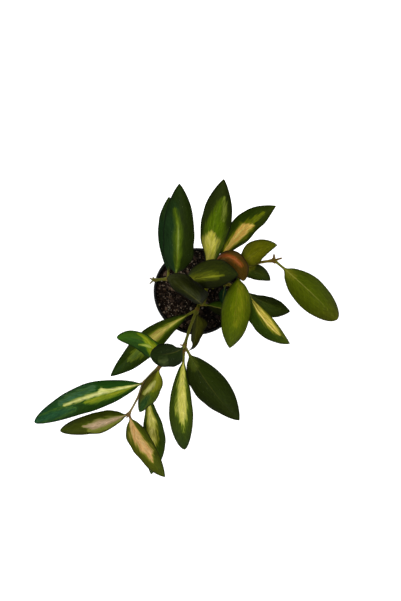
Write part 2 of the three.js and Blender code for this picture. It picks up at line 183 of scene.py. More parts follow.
class Shader:
    """One material under construction."""

    # The Mix node has sockets for each kind of data. These are its colour ones.
    MIX_FIRST = 6
    MIX_SECOND = 7
    MIX_RESULT = 2
    # How far a pattern that is slid by 1 moves along each axis.
    DRIFT = (1.0, 1.7, 0.6)

    def __init__(self, name: str) -> None:
        """Starts an empty material.

        Args:
            name: what to call it.
        """
        self.material = bpy.data.materials.new(name)
        self.material.use_nodes = True
        self.tree = self.material.node_tree
        self.tree.nodes.clear()

    def node(
        self, kind: str, settings: dict[str, Any] | None = None, sockets: dict[Any, Value] | None = None
    ) -> Any:
        """Adds a node.

        Args:
            kind: the node's type.
            settings: its properties, set first. "stops" are a ramp's (position, colour) pairs.
            sockets: what each input, by its name or number, holds or is linked to.

        Returns:
            The node.
        """
        made = self.tree.nodes.new(kind)
        for key, value in (settings or {}).items():
            if key == "stops":
                self._set_stops(made.color_ramp, value)
            else:
                setattr(made, key, value)
        for key, value in (sockets or {}).items():
            if isinstance(value, Signal):
                self.tree.links.new(value.socket, made.inputs[key])
            else:
                made.inputs[key].default_value = value
        return made

    @staticmethod
    def _set_stops(ramp: bpy.types.ColorRamp, stops: Sequence[tuple[float, Colour]]) -> None:
        """Gives a colour ramp its stops.

        Args:
            ramp: a new ramp, which has two stops.
            stops: the position and colour of each, in order.
        """
        while len(ramp.elements) < len(stops):
            ramp.elements.new(1.0)
        for element, (position, colour) in zip(ramp.elements, stops):
            element.position = position
            element.color = (*colour, 1.0)

    def out(self, node: Any, key: str | int = 0) -> Signal:
        """One of a node's outputs."""
        return Signal(self, node.outputs[key])

    def attribute(self, name: str) -> Signal:
        """A vector that the mesh stores at each point."""
        return self.out(self.node("ShaderNodeAttribute", {"attribute_name": name}), "Vector")

    def split(self, vector: Signal) -> tuple[Signal, Signal, Signal]:
        """A vector's three numbers."""
        parts = self.node("ShaderNodeSeparateXYZ", None, {0: vector})
        return self.out(parts, 0), self.out(parts, 1), self.out(parts, 2)

    def join(self, *parts: Signal) -> Signal:
        """Three numbers as a vector."""
        return self.out(self.node("ShaderNodeCombineXYZ", None, dict(enumerate(parts))))

    def place(self) -> Signal:
        """Object coordinates, in metres."""
        return self.out(self.node("ShaderNodeTexCoord"), "Object")

    def noise(self, place: Signal, waves: Sequence[float], detail: float, shift: float = 0.0) -> Signal:
        """Soft noise round 0, from about -0.5 to 0.5.

        Args:
            place: where on the surface.
            waves: how many of its waves fit in one unit along each axis.
            detail: how many finer layers it has.
            shift: slides the pattern, so that two pieces differ.

        Returns:
            The noise.
        """
        slid = tuple(part * shift for part in self.DRIFT)
        sockets = {"Vector": place, "Location": slid, "Scale": tuple(waves)}
        moved = self.node("ShaderNodeMapping", None, sockets)
        sockets = {"Vector": self.out(moved), "Scale": 1.0, "Detail": detail}
        return self.out(self.node("ShaderNodeTexNoise", None, sockets)) - 0.5

    def mix(self, share: Signal, first: Value, second: Value) -> Signal:
        """Mixes two colours.

        Args:
            share: how much of the second there is.
            first: a plain colour or a signal.
            second: the same.

        Returns:
            The mixed colour.
        """
        sockets = {0: share, self.MIX_FIRST: self._rgba(first), self.MIX_SECOND: self._rgba(second)}
        return self.out(self.node("ShaderNodeMix", {"data_type": "RGBA"}, sockets), self.MIX_RESULT)

    @staticmethod
    def _rgba(value: Value) -> Value:
        """A plain colour with its fourth number, and a signal as it is."""
        return value if isinstance(value, Signal) else (*value, 1.0)

    def ramp(self, value: Signal, stops: Sequence[tuple[float, Colour]]) -> Signal:
        """A colour ramp read at a value."""
        return self.out(self.node("ShaderNodeValToRGB", {"stops": stops}, {0: value}))

    def darken(self, colour: Signal, factor: Signal) -> Signal:
        """A colour times a number."""
        grey = self.join(factor, factor, factor)
        return self.out(self.node("ShaderNodeVectorMath", {"operation": "MULTIPLY"}, {0: colour, 1: grey}))

    def finish(self, sockets: dict[str, Value], height: Signal, depth: float) -> bpy.types.Material:
        """Closes the material.

        Args:
            sockets: what the Principled shader's inputs hold.
            height: the bumps, from about 0 to 1.
            depth: how high a bump of 1 stands.

        Returns:
            The material.
        """
        bump = self.node("ShaderNodeBump", None, {"Height": height, "Distance": depth * MM, "Strength": 1.0})
        body = self.node("ShaderNodeBsdfPrincipled", None, {**sockets, "Normal": self.out(bump)})
        self.node("ShaderNodeOutputMaterial", None, {"Surface": self.out(body)})
        return self.material


# ---- Modelling helpers ----


def clear_selection() -> None:
    """Leaves edit mode and deselects every object."""
    if bpy.context.object and bpy.context.object.mode != "OBJECT":
        bpy.ops.object.mode_set(mode="OBJECT")
    bpy.ops.object.select_all(action="DESELECT")


def activate(piece: bpy.types.Object, *others: bpy.types.Object) -> None:
    """Makes one object the active one, and selects it and perhaps others, and nothing else.

    Args:
        piece: the object to be active.
        *others: what is selected with it.
    """
    clear_selection()
    for chosen in (piece, *others):
        chosen.select_set(True)
    bpy.context.view_layer.objects.active = piece


def apply_modifier(piece: bpy.types.Object, kind: str, **settings: Any) -> None:
    """Adds a modifier to a piece and applies it.

    Args:
        piece: the object.
        kind: the modifier's type.
        **settings: its properties.
    """
    activate(piece)
    modifier = piece.modifiers.new(kind.title(), kind)
    for key, value in settings.items():
        setattr(modifier, key, value)
    bpy.ops.object.modifier_apply(modifier=modifier.name)


def refine(piece: bpy.types.Object) -> None:
    """Subdivides a piece's surface smoothly, once."""
    apply_modifier(piece, "SUBSURF", levels=1, render_levels=1)


def smooth(piece: bpy.types.Object, angle: float) -> None:
    """Shades a piece smooth, apart from edges sharper than an angle."""
    activate(piece)
    bpy.ops.object.shade_smooth_by_angle(angle=math.radians(angle))


def points_of(piece: bpy.types.Object) -> np.ndarray:
    """Reads a mesh's points.

    Args:
        piece: the object.

    Returns:
        An array with a row for each point.
    """
    flat = np.empty(3 * len(piece.data.vertices))
    piece.data.vertices.foreach_get("co", flat)
    return flat.reshape(-1, 3)


def set_points(piece: bpy.types.Object, points: np.ndarray) -> None:
    """Moves a mesh's points, given in metres."""
    piece.data.vertices.foreach_set("co", points.ravel())
    piece.data.update()


def store(piece: bpy.types.Object, name: str, *parts: np.ndarray) -> None:
    """Stores a vector, given as its three parts, for each point of a mesh, for its material."""
    kept = piece.data.attributes.new(name, "FLOAT_VECTOR", "POINT")
    kept.data.foreach_set("vector", np.stack(parts, axis=1).astype(np.float32).ravel())


def tube(sides: int, rings: int) -> bpy.types.Object:
    """A closed tube with many rings, 1 in radius and from 0 to 1 along Z.

    Args:
        sides: points round it.
        rings: steps along it.

    Returns:
        The object, to be laid along a curve.
    """
    clear_selection()
    bpy.ops.mesh.primitive_cylinder_add(vertices=sides, radius=1, depth=1, location=(0, 0, 0.5))
    piece = bpy.context.object
    bpy.ops.object.mode_set(mode="EDIT")
    bpy.ops.mesh.select_mode(type="EDGE")
    bpy.ops.mesh.select_all(action="DESELECT")
    mesh = bmesh.from_edit_mesh(piece.data)
    for edge in mesh.edges:
        if edge.verts[0].co.z != edge.verts[1].co.z:
            edge.select_set(True)
    bmesh.update_edit_mesh(piece.data)
    bpy.ops.mesh.subdivide(number_cuts=rings - 1)
    bpy.ops.object.mode_set(mode="OBJECT")
    bpy.ops.object.transform_apply(location=True, rotation=True, scale=True)
    return piece


def settle(
    piece: bpy.types.Object, name: str, nodes: Sequence[str], material: bpy.types.Material
) -> None:
    """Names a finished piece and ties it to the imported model.

    Args:
        piece: the finished object.
        name: its name.
        nodes: the CAD nodes that it stands for.
        material: its finish.
    """
    piece.name = name
    piece.data.name = name
    piece.data.materials.clear()
    piece.data.materials.append(material)
    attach(piece, "root")
    if nodes:
        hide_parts(*nodes)
    log.info("%s: %d faces", name, len(piece.data.polygons))


# ---- Vines ----


@dataclass(frozen=True)
class Spur:
    """A short bud spur, which widens into a few closed bracts.

    Attributes:
        at: which of the vine's points it leaves.
        heading: its compass in plan.
        rise: its slope.
        length: from the vine's middle to its end.
        radius: at the vine.
        taper: its radius at the end, as a share of that.
        bract: how far the bracts stand out, as a share of the radius.
        bracts: how many rings of bracts there are.
        twist: how much more a bract stands out on one side than on the other.
        end: how wide its very end stays open before it is capped.
        bud: how much of a knee's brown it has at the vine, with all of it at its end.
        sides: points round it.
        rings: steps along it.
    """

    at: int
    heading: float
    rise: float
    length: float
    radius: float = 0.8
    taper: float = 0.6
    bract: float = 0.28
    bracts: float = 3.5
    twist: float = 0.5
    end: float = 0.02
    bud: float = 0.6
    sides: int = 10
    rings: int = 14

    def build(self, start: Point) -> bpy.types.Object:
        """Makes the spur, to be joined to its vine.

        Args:
            start: where it leaves the vine's middle.

        Returns:
            The object.
        """
        along = direction(self.heading, self.rise)
        left, up = crossings(along)
        piece = tube(self.sides, self.rings)
        shape = points_of(piece)
        share, angle = shape[:, 2], np.arctan2(shape[:, 1], shape[:, 0])
        uneven = 1 + self.twist * np.sin(2 * angle + 8 * share)
        scales = self.bract * np.abs(np.sin(self.bracts * math.pi * share)) * uneven
        radius = self.radius * (1 + (self.taper - 1) * share + scales)
        radius = radius * np.sqrt(np.clip(1 + self.end - share**6, 0, 1))
        out, lift = radius * np.cos(angle), radius * np.sin(angle)
        centre = np.array(start) + along * (share * self.length)[:, None]
        set_points(piece, (centre + left * out[:, None] + up * lift[:, None]) * MM)
        whole = np.ones_like(share)
        store(piece, "vine", whole, self.bud + (1 - self.bud) * share, angle / math.tau)
        store(piece, "flat", share * self.length / CM_IN_MM, angle / CM_IN_MM, whole)
        return piece


@dataclass(frozen=True)
class Vine:
    """One vine: a round stem through a few points, thicker at the knees where leaves sit.

    Attributes:
        name: of the node that it stands for, without its first word.
        foot: its radius in the potting mix.
        tip: its radius at the far end.
        points: the places that its middle passes.
        knees: which of those carry leaves.
        spurs: its bud spurs.
        skin: its colour at the foot and at the far end.
        sides: points round it.
        step: length of one of its rings.
        samples: points on the curve between two of the places.
        knee: how much thicker a knee is.
        knee_reach: how far that reaches along it.
        lump: how uneven its thickness is.
        lumps: (share, waves for each millimetre) of the coarse and the fine lumps.
        flute: height of the ridges along it.
        flutes: how many ridges there are.
        flute_turn: how far they wind round it.
        scar: depth of the ring-shaped scar beside a knee.
        scar_place: how far it lies from the knee's middle.
        scar_width: how wide it is.
    """

    name: str
    foot: float
    tip: float
    points: tuple[Point, ...]
    knees: tuple[int, ...]
    spurs: tuple[Spur, ...] = ()
    skin: tuple[str, str] = ("56560f", "6a5a1c")
    sides: int = 20
    step: float = 0.9
    samples: int = 48
    knee: float = 0.9
    knee_reach: float = 3.2
    lump: float = 0.12
    lumps: tuple[tuple[float, float], ...] = ((1, 0.35), (0.5, 1.1))
    flute: float = 0.05
    flutes: int = 5
    flute_turn: float = 9
    scar: float = 0.25
    scar_place: float = 0.2
    scar_width: float = 0.35

    def middle(self) -> np.ndarray:
        """Lays a centripetal Catmull-Rom curve through the vine's points.

        Returns:
            Points closely along the vine's middle.
        """
        given = np.array(self.points, dtype=float)
        ends = np.vstack([2 * given[0] - given[1], given, 2 * given[-1] - given[-2]])
        pieces = [self._stretch(ends[i : i + 4]) for i in range(len(given) - 1)]
        return np.vstack([*pieces, given[-1:]])

    def _stretch(self, four: np.ndarray) -> np.ndarray:
        """Lays one stretch of the curve.

        Args:
            four: points, of which the stretch joins the middle two.

        Returns:
            Points along it, without its last.
        """
        gaps = np.linalg.norm(np.diff(four, axis=0), axis=1) ** 0.5
        slopes = [
            ((four[i + 1] - four[i]) / gaps[i] - (four[i + 2] - four[i]) / (gaps[i] + gaps[i + 1])
             + (four[i + 2] - four[i + 1]) / gaps[i + 1]) * gaps[1]
            for i in (0, 1)
        ]
        t = np.linspace(0, 1, self.samples, endpoint=False)[:, None]
        rise = 3 * (four[2] - four[1]) - 2 * slopes[0] - slopes[1]
        bend = 2 * (four[1] - four[2]) + slopes[0] + slopes[1]
        return four[1] + slopes[0] * t + rise * t**2 + bend * t**3

    def build(self) -> bpy.types.Object:
        """Makes the vine with its spurs as one piece, and dresses it.

        Returns:
            The finished piece.
        """
        middle = self.middle()
        run = lengths_along(middle)
        piece = tube(self.sides, round(run[-1] / self.step))
        shape = points_of(piece)
        share, angle = shape[:, 2], np.arctan2(shape[:, 1], shape[:, 0])
        at = share * run[-1]
        centre = read_along(run, middle, at)
        left, up = (unit(read_along(run, cross, at)) for cross in self._frames(middle, run))
        knots = np.array([self.points[knee] for knee in self.knees])
        near = np.min(np.linalg.norm(centre[:, None] - knots[None], axis=2), axis=1)
        swell = np.exp(-((near / self.knee_reach) ** 2))
        radius = self._radius(centre, share, angle, near, swell)
        out, lift = radius * np.cos(angle), radius * np.sin(angle)
        set_points(piece, (centre + left * out[:, None] + up * lift[:, None]) * MM)
        store(piece, "vine", share, swell, angle / math.tau)
        store(piece, "flat", at / CM_IN_MM, angle * self.foot / CM_IN_MM, np.zeros_like(share))
        spurs = [spur.build(self.points[spur.at]) for spur in self.spurs]
        if spurs:
            activate(piece, *spurs)
            bpy.ops.object.join()
        refine(piece)
        smooth(piece, 60)
        finish = VineFinish(*self.skin).build(f"skin_{self.name}_vine")
        settle(piece, f"vine_{self.name}", [f"stem_{self.name}"], finish)
        return piece

    @staticmethod
    def _frames(middle: np.ndarray, run: np.ndarray) -> tuple[np.ndarray, np.ndarray]:
        """Finds cross directions that turn as little as they can along the vine.

        Args:
            middle: points along the vine.
            run: how far along it they lie.

        Returns:
            The two cross directions at each point.
        """
        tangents = unit(np.gradient(middle, run, axis=0))
        lefts = [unit(np.cross(tangents[0], [1.0, 0.0, 0.0]))]
        for tangent in tangents[1:]:
            lefts.append(unit(lefts[-1] - tangent * np.dot(lefts[-1], tangent)))
        return np.array(lefts), np.cross(tangents, lefts)

    def _radius(
        self, centre: np.ndarray, share: np.ndarray, angle: np.ndarray, near: np.ndarray, swell: np.ndarray
    ) -> np.ndarray:
        """Works out how thick the vine is at each point of its skin.

        Args:
            centre: the vine's middle there.
            share: how far along the vine it is, from 0 to 1.
            angle: where round the vine.
            near: the distance to the nearest knee.
            swell: how much of a knee is there, from 0 to 1.

        Returns:
            The radii.
        """
        lump = np.array([
            sum(part * noise.noise(Vector(place) * waves) for part, waves in self.lumps) for place in centre
        ])
        radius = self.foot + (self.tip - self.foot) * share + self.knee * swell + self.lump * lump
        radius = radius + self.flute * np.sin(self.flutes * angle + self.flute_turn * share)
        return radius - self.scar * np.exp(-(((near - self.scar_place) / self.scar_width) ** 2))


VINES = (
    Vine(
        "trailing", foot=1.6, tip=0.95, skin=("434409", "7c6a40"),
        points=((2, -12, 50), (2, -12, 70), (0, -17, 86.5), (-6.2, -33, 96), (-10.8, -48.5, 100.5),
                (-11.5, -53, 101), (-33, -67, 96), (-48, -83, 86), (-54, -97, 77), (-63, -113.5, 66),
                (-64, -115.5, 64.8)),
        knees=(2, 4, 5, 6, 7, 9),
        spurs=(Spur(4, 165, 25, 5), Spur(4, -60, 10, 3.5, 1), Spur(9, -120, -5, 4.5), Spur(9, 150, 30, 3, 1),
               Spur(7, -112, -8, 12, 0.28)),
    ),
    Vine(
        "left", foot=1.7, tip=1, skin=("565810", "5c5c1c"),
        points=((7, -8, 50), (7, -8, 70), (4.5, -11.5, 84.5), (-7, 0, 95.5), (-15.5, 8, 100.5),
                (-19, 10.5, 102), (-25.5, 10.5, 104), (-38, 9.5, 107)),
        knees=(2, 4, 5, 6, 7),
        spurs=(Spur(7, 150, 25, 4.5), Spur(7, -135, 5, 5), Spur(7, 95, 30, 3.5)),
    ),
    Vine(
        "right", foot=1.8, tip=1.25, skin=("5a5c0c", "5e4e16"),
        points=((8.5, 1, 50), (8.5, 2, 70), (10, 12, 91), (13.5, 21, 97), (17.5, 24, 98.7), (28, 24, 101),
                (37, 20.5, 102.5), (41.5, 20.8, 103), (53, 24.5, 105.5), (68, 26.8, 106)),
        knees=(2, 3, 4, 6, 9),
        spurs=(Spur(9, 95, 20, 6, 1.3), Spur(9, 17, 15, 8, 1.05), Spur(9, 160, 30, 3, 1.8),
               Spur(9, -80, 10, 3, 1.7)),
    ),
    Vine(
        "side", foot=1.7, tip=1.2,
        points=((15, 3, 50), (15, 4, 70), (18.5, 7, 82), (25.5, 7, 89), (33, 4, 92.5), (41.5, 0.8, 93.6),
                (44.7, -0.5, 94)),
        knees=(3, 5, 6),
    ),
)


@dataclass(frozen=True)
class VineFinish:
    """The skin of a vine, with fine ribs and brown knees and buds.

    Attributes:
        foot: its colour where it leaves the mix.
        end: its colour at the far end.
        knee: the colour of knees and buds.
        rib_waves: how many fine ribs there are for each centimetre.
        patch_waves: the same of the soft patches.
        turning: the shares of its length over which one colour turns into the other.
        browning: how much of a knee it takes to begin and to end the turn to brown.
        browned: how brown that gets.
        gloss: the specular level.
        relief: height of the bumps.
    """

    foot: str
    end: str
    knee: str = "5a3e18"
    rib_waves: Point = (1.5, 22, 4)
    patch_waves: Point = (2.2, 4, 2)
    turning: Span = (0.45, 1.0)
    browning: Span = (0.4, 1.1)
    browned: float = 0.75
    gloss: float = 0.06
    relief: float = 0.3

    def build(self, name: str) -> bpy.types.Material:
        """Makes the material.

        Args:
            name: what to call it.

        Returns:
            The material.
        """
        shader = Shader(name)
        share, knee, _ = shader.split(shader.attribute("vine"))
        flat = shader.attribute("flat")
        ribs = shader.noise(flat, self.rib_waves, 3)
        patches = shader.noise(flat, self.patch_waves, 3, 4.0)
        turned = (share + 0.5 * patches).ease(*self.turning)
        colour = shader.mix(turned, pigment(self.foot), pigment(self.end))
        brown = (knee + 0.9 * patches).ease(*self.browning) * self.browned
        colour = shader.mix(brown, colour, pigment(self.knee))
        colour = shader.darken(colour, 1.0 + 0.9 * ribs + 0.5 * patches)
        sockets = {"Base Color": colour, "Roughness": 0.55 + 0.25 * patches, "Specular IOR Level": self.gloss}
        return shader.finish(sockets, 0.5 * ribs + 0.5 * patches, self.relief)


# ---- Leaves ----


@dataclass(frozen=True)
class Band:
    """A band of pale flesh along a blade. On trail_upright and centre_left the band is a painted sheen.

    Attributes:
        colour: at its full strength.
        path: (share along the blade, middle, half width) at a few places. The last two are shares of the
            blade's half width, with the left margin at 1 and the right one at -1.
        tint: the colour of its streaks, or "" for none.
        ragged: how far its edge wanders.
        halo: how far the flesh between band and margin reaches round it.
        soft: how soft its edge is.
    """

    colour: str
    path: tuple[Point, ...]
    tint: str = ""
    ragged: float = 0.4
    halo: float = 0.3
    soft: float = 0.12


@dataclass(frozen=True)
class LeafPaint:
    """The colours of one leaf.

    Attributes:
        left: flesh of the left half, with the painted light and shade of how that half faces the light.
        right: flesh of the right half, with the painted light and shade of how that half faces the light.
        tip: flesh towards the tip. On centre_left it is a painted sheen.
        halo: flesh between the margin and a pale band.
        bands: the pale bands, with the last on top. Those of trail_upright and centre_left are painted sheen.
        rib: how strongly the midrib shows as a pale line.
        stalk: the petiole.
    """

    left: str
    right: str
    tip: str
    halo: str = "4a5808"
    bands: tuple[Band, ...] = ()
    rib: float = 0.25
    stalk: str = "5a5a18"


@dataclass(frozen=True)
class LeafFinish:
    """Waxy leaf skin, painted as one leaf's paint says.

    The mesh stores two vectors for it. "leaf" is the share along the blade, the share across it and which
    face it is. "flat" is the way along and across in centimetres, and the distance to the margin.

    Attributes:
        paint: the leaf's colours.
        shift: slides its patterns, so that no two leaves are alike.
        roughness: of the wax.
        gloss: the specular level.
        relief: height of the bumps.
        edge_shade: how bright the margin stays under its dark line, which is partly the leaf's own darker
            margin and partly painted shade.
        edge_width: how wide its dark line is.
        side_shade: how much darker the sides are than the middle, as painted shade of the curved blade.
        flecks: how strongly the pale flecks show.
        fade: the share of the blade over which a band begins or ends.
        slant: how far streaks swing out as they run forward.
        streak_waves: how many streaks there are for each centimetre.
        mottle_waves: the same of the soft mottling.
        grain_waves: the same of the fine grain.
        fleck_waves: the same of the flecks.
        streaking: how strong the streaks are.
        seam: half width of the seam between the two halves' colours, as a share of the blade.
        tipping: the shares of the blade over which the tip's colour comes in.
        stalking: the shares of the blade over which the stalk's colour goes out.
        rib_width: how far from the midrib its pale line begins and ends to fade, in centimetres.
        rib_fade: the shares of the blade over which that line fades.
        fleck_size: the noise levels at which a fleck begins and is full.
        fleck_fade: the shares of the blade over which the flecks fade.
        mottling: how much lighter and darker the mottling makes it.
        graining: the same of the grain.
        veining: the same of the side veins.
        middle_light: how bright the middle is, against which the sides are shaded, as painted light of the
            curved blade.
        side_fade: where between midrib and margin that shade begins and is full.
        tint_gain: how strongly the streaks tint a band.
        tint_size: where between 0 and 1 the tint begins and is full.
        vein_gap: centimetres from one side vein to the next.
        vein_slant: how far a side vein runs forward for each step outwards.
        vein_wander: how far the streaks push a side vein about.
        vein_size: where between 0 and 1 a side vein begins and is full.
        midrib: colour of the pale midrib.
        fleck: colour of the flecks.
        under: colour that the underside turns to.
        under_share: how far it does so.
    """

    paint: LeafPaint
    shift: float
    roughness: float = 0.45
    gloss: float = 0.03
    relief: float = 0.2
    edge_shade: float = 0.3
    edge_width: float = 1.5
    side_shade: float = 0.45
    flecks: float = 0.35
    fade: float = 0.1
    slant: float = 0.2
    streak_waves: Point = (0.9, 6, 1.5)
    mottle_waves: Point = (1.3, 2.4, 1)
    grain_waves: Point = (7, 26, 1)
    fleck_waves: Point = (9, 7, 1)
    streaking: float = 1.3
    seam: float = 0.12
    tipping: Span = (0.6, 1.0)
    stalking: Span = (-0.02, 0.06)
    rib_width: Span = (0.015, 0.07)
    rib_fade: Span = (0.35, 0.9)
    fleck_size: Span = (0.24, 0.32)
    fleck_fade: Span = (0.85, 1.0)
    mottling: float = 1.1
    graining: float = 0.5
    veining: float = 0.1
    middle_light: float = 1.1
    side_fade: Span = (0.1, 1.0)
    tint_gain: float = 2.2
    tint_size: Span = (0.2, 0.9)
    vein_gap: float = 0.62
    vein_slant: float = 1.3
    vein_wander: float = 0.5
    vein_size: Span = (0.55, 1.0)
    midrib: str = "8e8a3e"
    fleck: str = "8c9468"
    under: str = "7d8a5c"
    under_share: float = 0.35

    def build(self, name: str) -> bpy.types.Material:
        """Makes the material.

        Args:
            name: what to call it.

        Returns:
            The material.
        """
        shader = Shader(name)
        u, v, face = shader.split(shader.attribute("leaf"))
        flat = shader.attribute("flat")
        along, reach, margin = shader.split(flat)
        forward = shader.join(along, abs(reach) - self.slant * along, v.ease(-0.1, 0.1))
        streaks = self.streaking * shader.noise(forward, self.streak_waves, 4, self.shift)
        mottle = shader.noise(flat, self.mottle_waves, 5, self.shift + 5)
        grain = shader.noise(forward, self.grain_waves, 2, self.shift)
        veins = self._veins(along, reach, streaks)
        colour = self._flesh(shader, u, v, streaks)
        rib = (1.0 - abs(reach).ease(*self.rib_width)) * (1.0 - u.ease(*self.rib_fade))
        colour = shader.mix(rib * self.paint.rib, colour, pigment(self.midrib))
        light = 1.0 + self.mottling * mottle + self.graining * grain + self.veining * veins
        colour = shader.darken(colour, light)
        fleck = shader.noise(flat, self.fleck_waves, 1, self.shift + 11).ease(*self.fleck_size) * self.flecks
        colour = shader.mix(fleck * (1.0 - u.ease(*self.fleck_fade)), colour, pigment(self.fleck))
        # The dark margin line: partly the leaf's own darker margin, partly painted shade of the edge.
        edge = margin.ease(0.0, self.edge_width)
        colour = shader.darken(colour, self.edge_shade + (1.0 - self.edge_shade) * edge)
        # Painted light and shade of the curved blade: the middle lighter, the sides darker.
        colour = shader.darken(colour, self.middle_light - self.side_shade * abs(v).ease(*self.side_fade))
        under = (-face).ease(0.0, 0.25)
        colour = shader.mix(under * self.under_share, colour, pigment(self.under))
        colour = shader.mix(1.0 - u.ease(*self.stalking), colour, pigment(self.paint.stalk))
        roughness = self.roughness + 0.16 * under + 0.15 * mottle
        sockets = {"Base Color": colour, "Roughness": roughness, "Specular IOR Level": self.gloss}
        return shader.finish(sockets, 0.3 * veins + 0.5 * mottle + 0.02 * grain, self.relief)

    def _flesh(self, shader: Shader, u: Signal, v: Signal, streaks: Signal) -> Signal:
        """Paints both halves, the tip and the bands.

        Args:
            shader: the material.
            u: share along the blade.
            v: share across it.
            streaks: noise that runs forward from the midrib.

        Returns:
            The colour.
        """
        paint = self.paint
        # The halves' colours carry painted light and shade of each half's slope along with their flesh.
        colour = shader.mix(v.ease(-self.seam, self.seam), pigment(paint.right), pigment(paint.left))
        colour = shader.mix((u + 0.3 * streaks).ease(*self.tipping), colour, pigment(paint.tip))
        for band in paint.bands:
            colour = self._lay(shader, colour, band, (u, v), streaks)
        return colour

    def _lay(
        self, shader: Shader, under: Signal, band: Band, place: tuple[Signal, Signal], streaks: Signal
    ) -> Signal:
        """Lays one band, inside its halo, over the colour so far.

        Args:
            shader: the material.
            under: the colour so far.
            band: what to lay.
            place: shares along and across the blade.
            streaks: noise that makes its edge ragged and tints it.

        Returns:
            The colour with the band.
        """
        u, v = place
        (first, start, _), (last, end, _) = band.path[0], band.path[-1]
        path = [*band.path, (min(last + self.fade, 1), end, -1)]
        if first > 0:
            path.insert(0, (max(first - self.fade, 0), start, -1))
        stops = [(share, (0.5 + 0.5 * middle, 0.5 + 0.5 * half, 0.0)) for share, middle, half in path]
        middle, half, _ = shader.split(shader.ramp(u, stops))
        inside = (2.0 * half - 1.0) + band.ragged * streaks - abs(v - (2.0 * middle - 1.0))
        haloed = shader.mix((inside + band.halo).ease(0.0, band.halo), under, pigment(self.paint.halo))
        streaky = (self.tint_gain * streaks + 0.5).ease(*self.tint_size)
        tinted = shader.mix(streaky, pigment(band.colour), pigment(band.tint or band.colour))
        return shader.mix(inside.ease(-band.soft, band.soft), haloed, tinted)

    def _veins(self, along: Signal, reach: Signal, streaks: Signal) -> Signal:
        """Faint side veins that run forward from the midrib, from 0 to 1."""
        place = along - self.vein_slant * abs(reach) + self.vein_wander * streaks
        return (place * (math.tau / self.vein_gap)).sine().ease(*self.vein_size)


@dataclass(frozen=True)
class Leaf:
    """One leaf, from the middle of its vine to the tip of its blade.

    Attributes:
        name: of the node that it stands for, without its first word.
        vine: the vine that carries it.
        at: which of the vine's points it sits on.
        heading: its compass in plan.
        rise: its slope.
        length: from vine to tip in a straight line.
        slot: its material slot, which nothing here reads.
        left: half widths of the left half at 20, 40, 60 and 80% of the blade.
        right: the same of the right half.
        paint: its colours.
        petiole: length of the round stalk.
        bow: how far the midrib swings to its left.
        arch: how far it humps.
        fold: slope of both halves up from the midrib.
        roll: how much more the left half is lifted than that, and the right half less.
        blunt: how round the tip is, from 0 to 1.
        wave: how far the margin waves up and down.
        hook: how far the very tip swings to its left.
    """

    name: str
    vine: str
    at: int
    heading: float
    rise: float
    length: float
    slot: Slot
    left: tuple[float, float, float, float]
    right: tuple[float, float, float, float]
    paint: LeafPaint
    petiole: float = 6
    bow: float = 0
    arch: float = 3
    fold: float = 6
    roll: float = 0
    blunt: float = 0.3
    wave: float = 0.45
    hook: float = 0


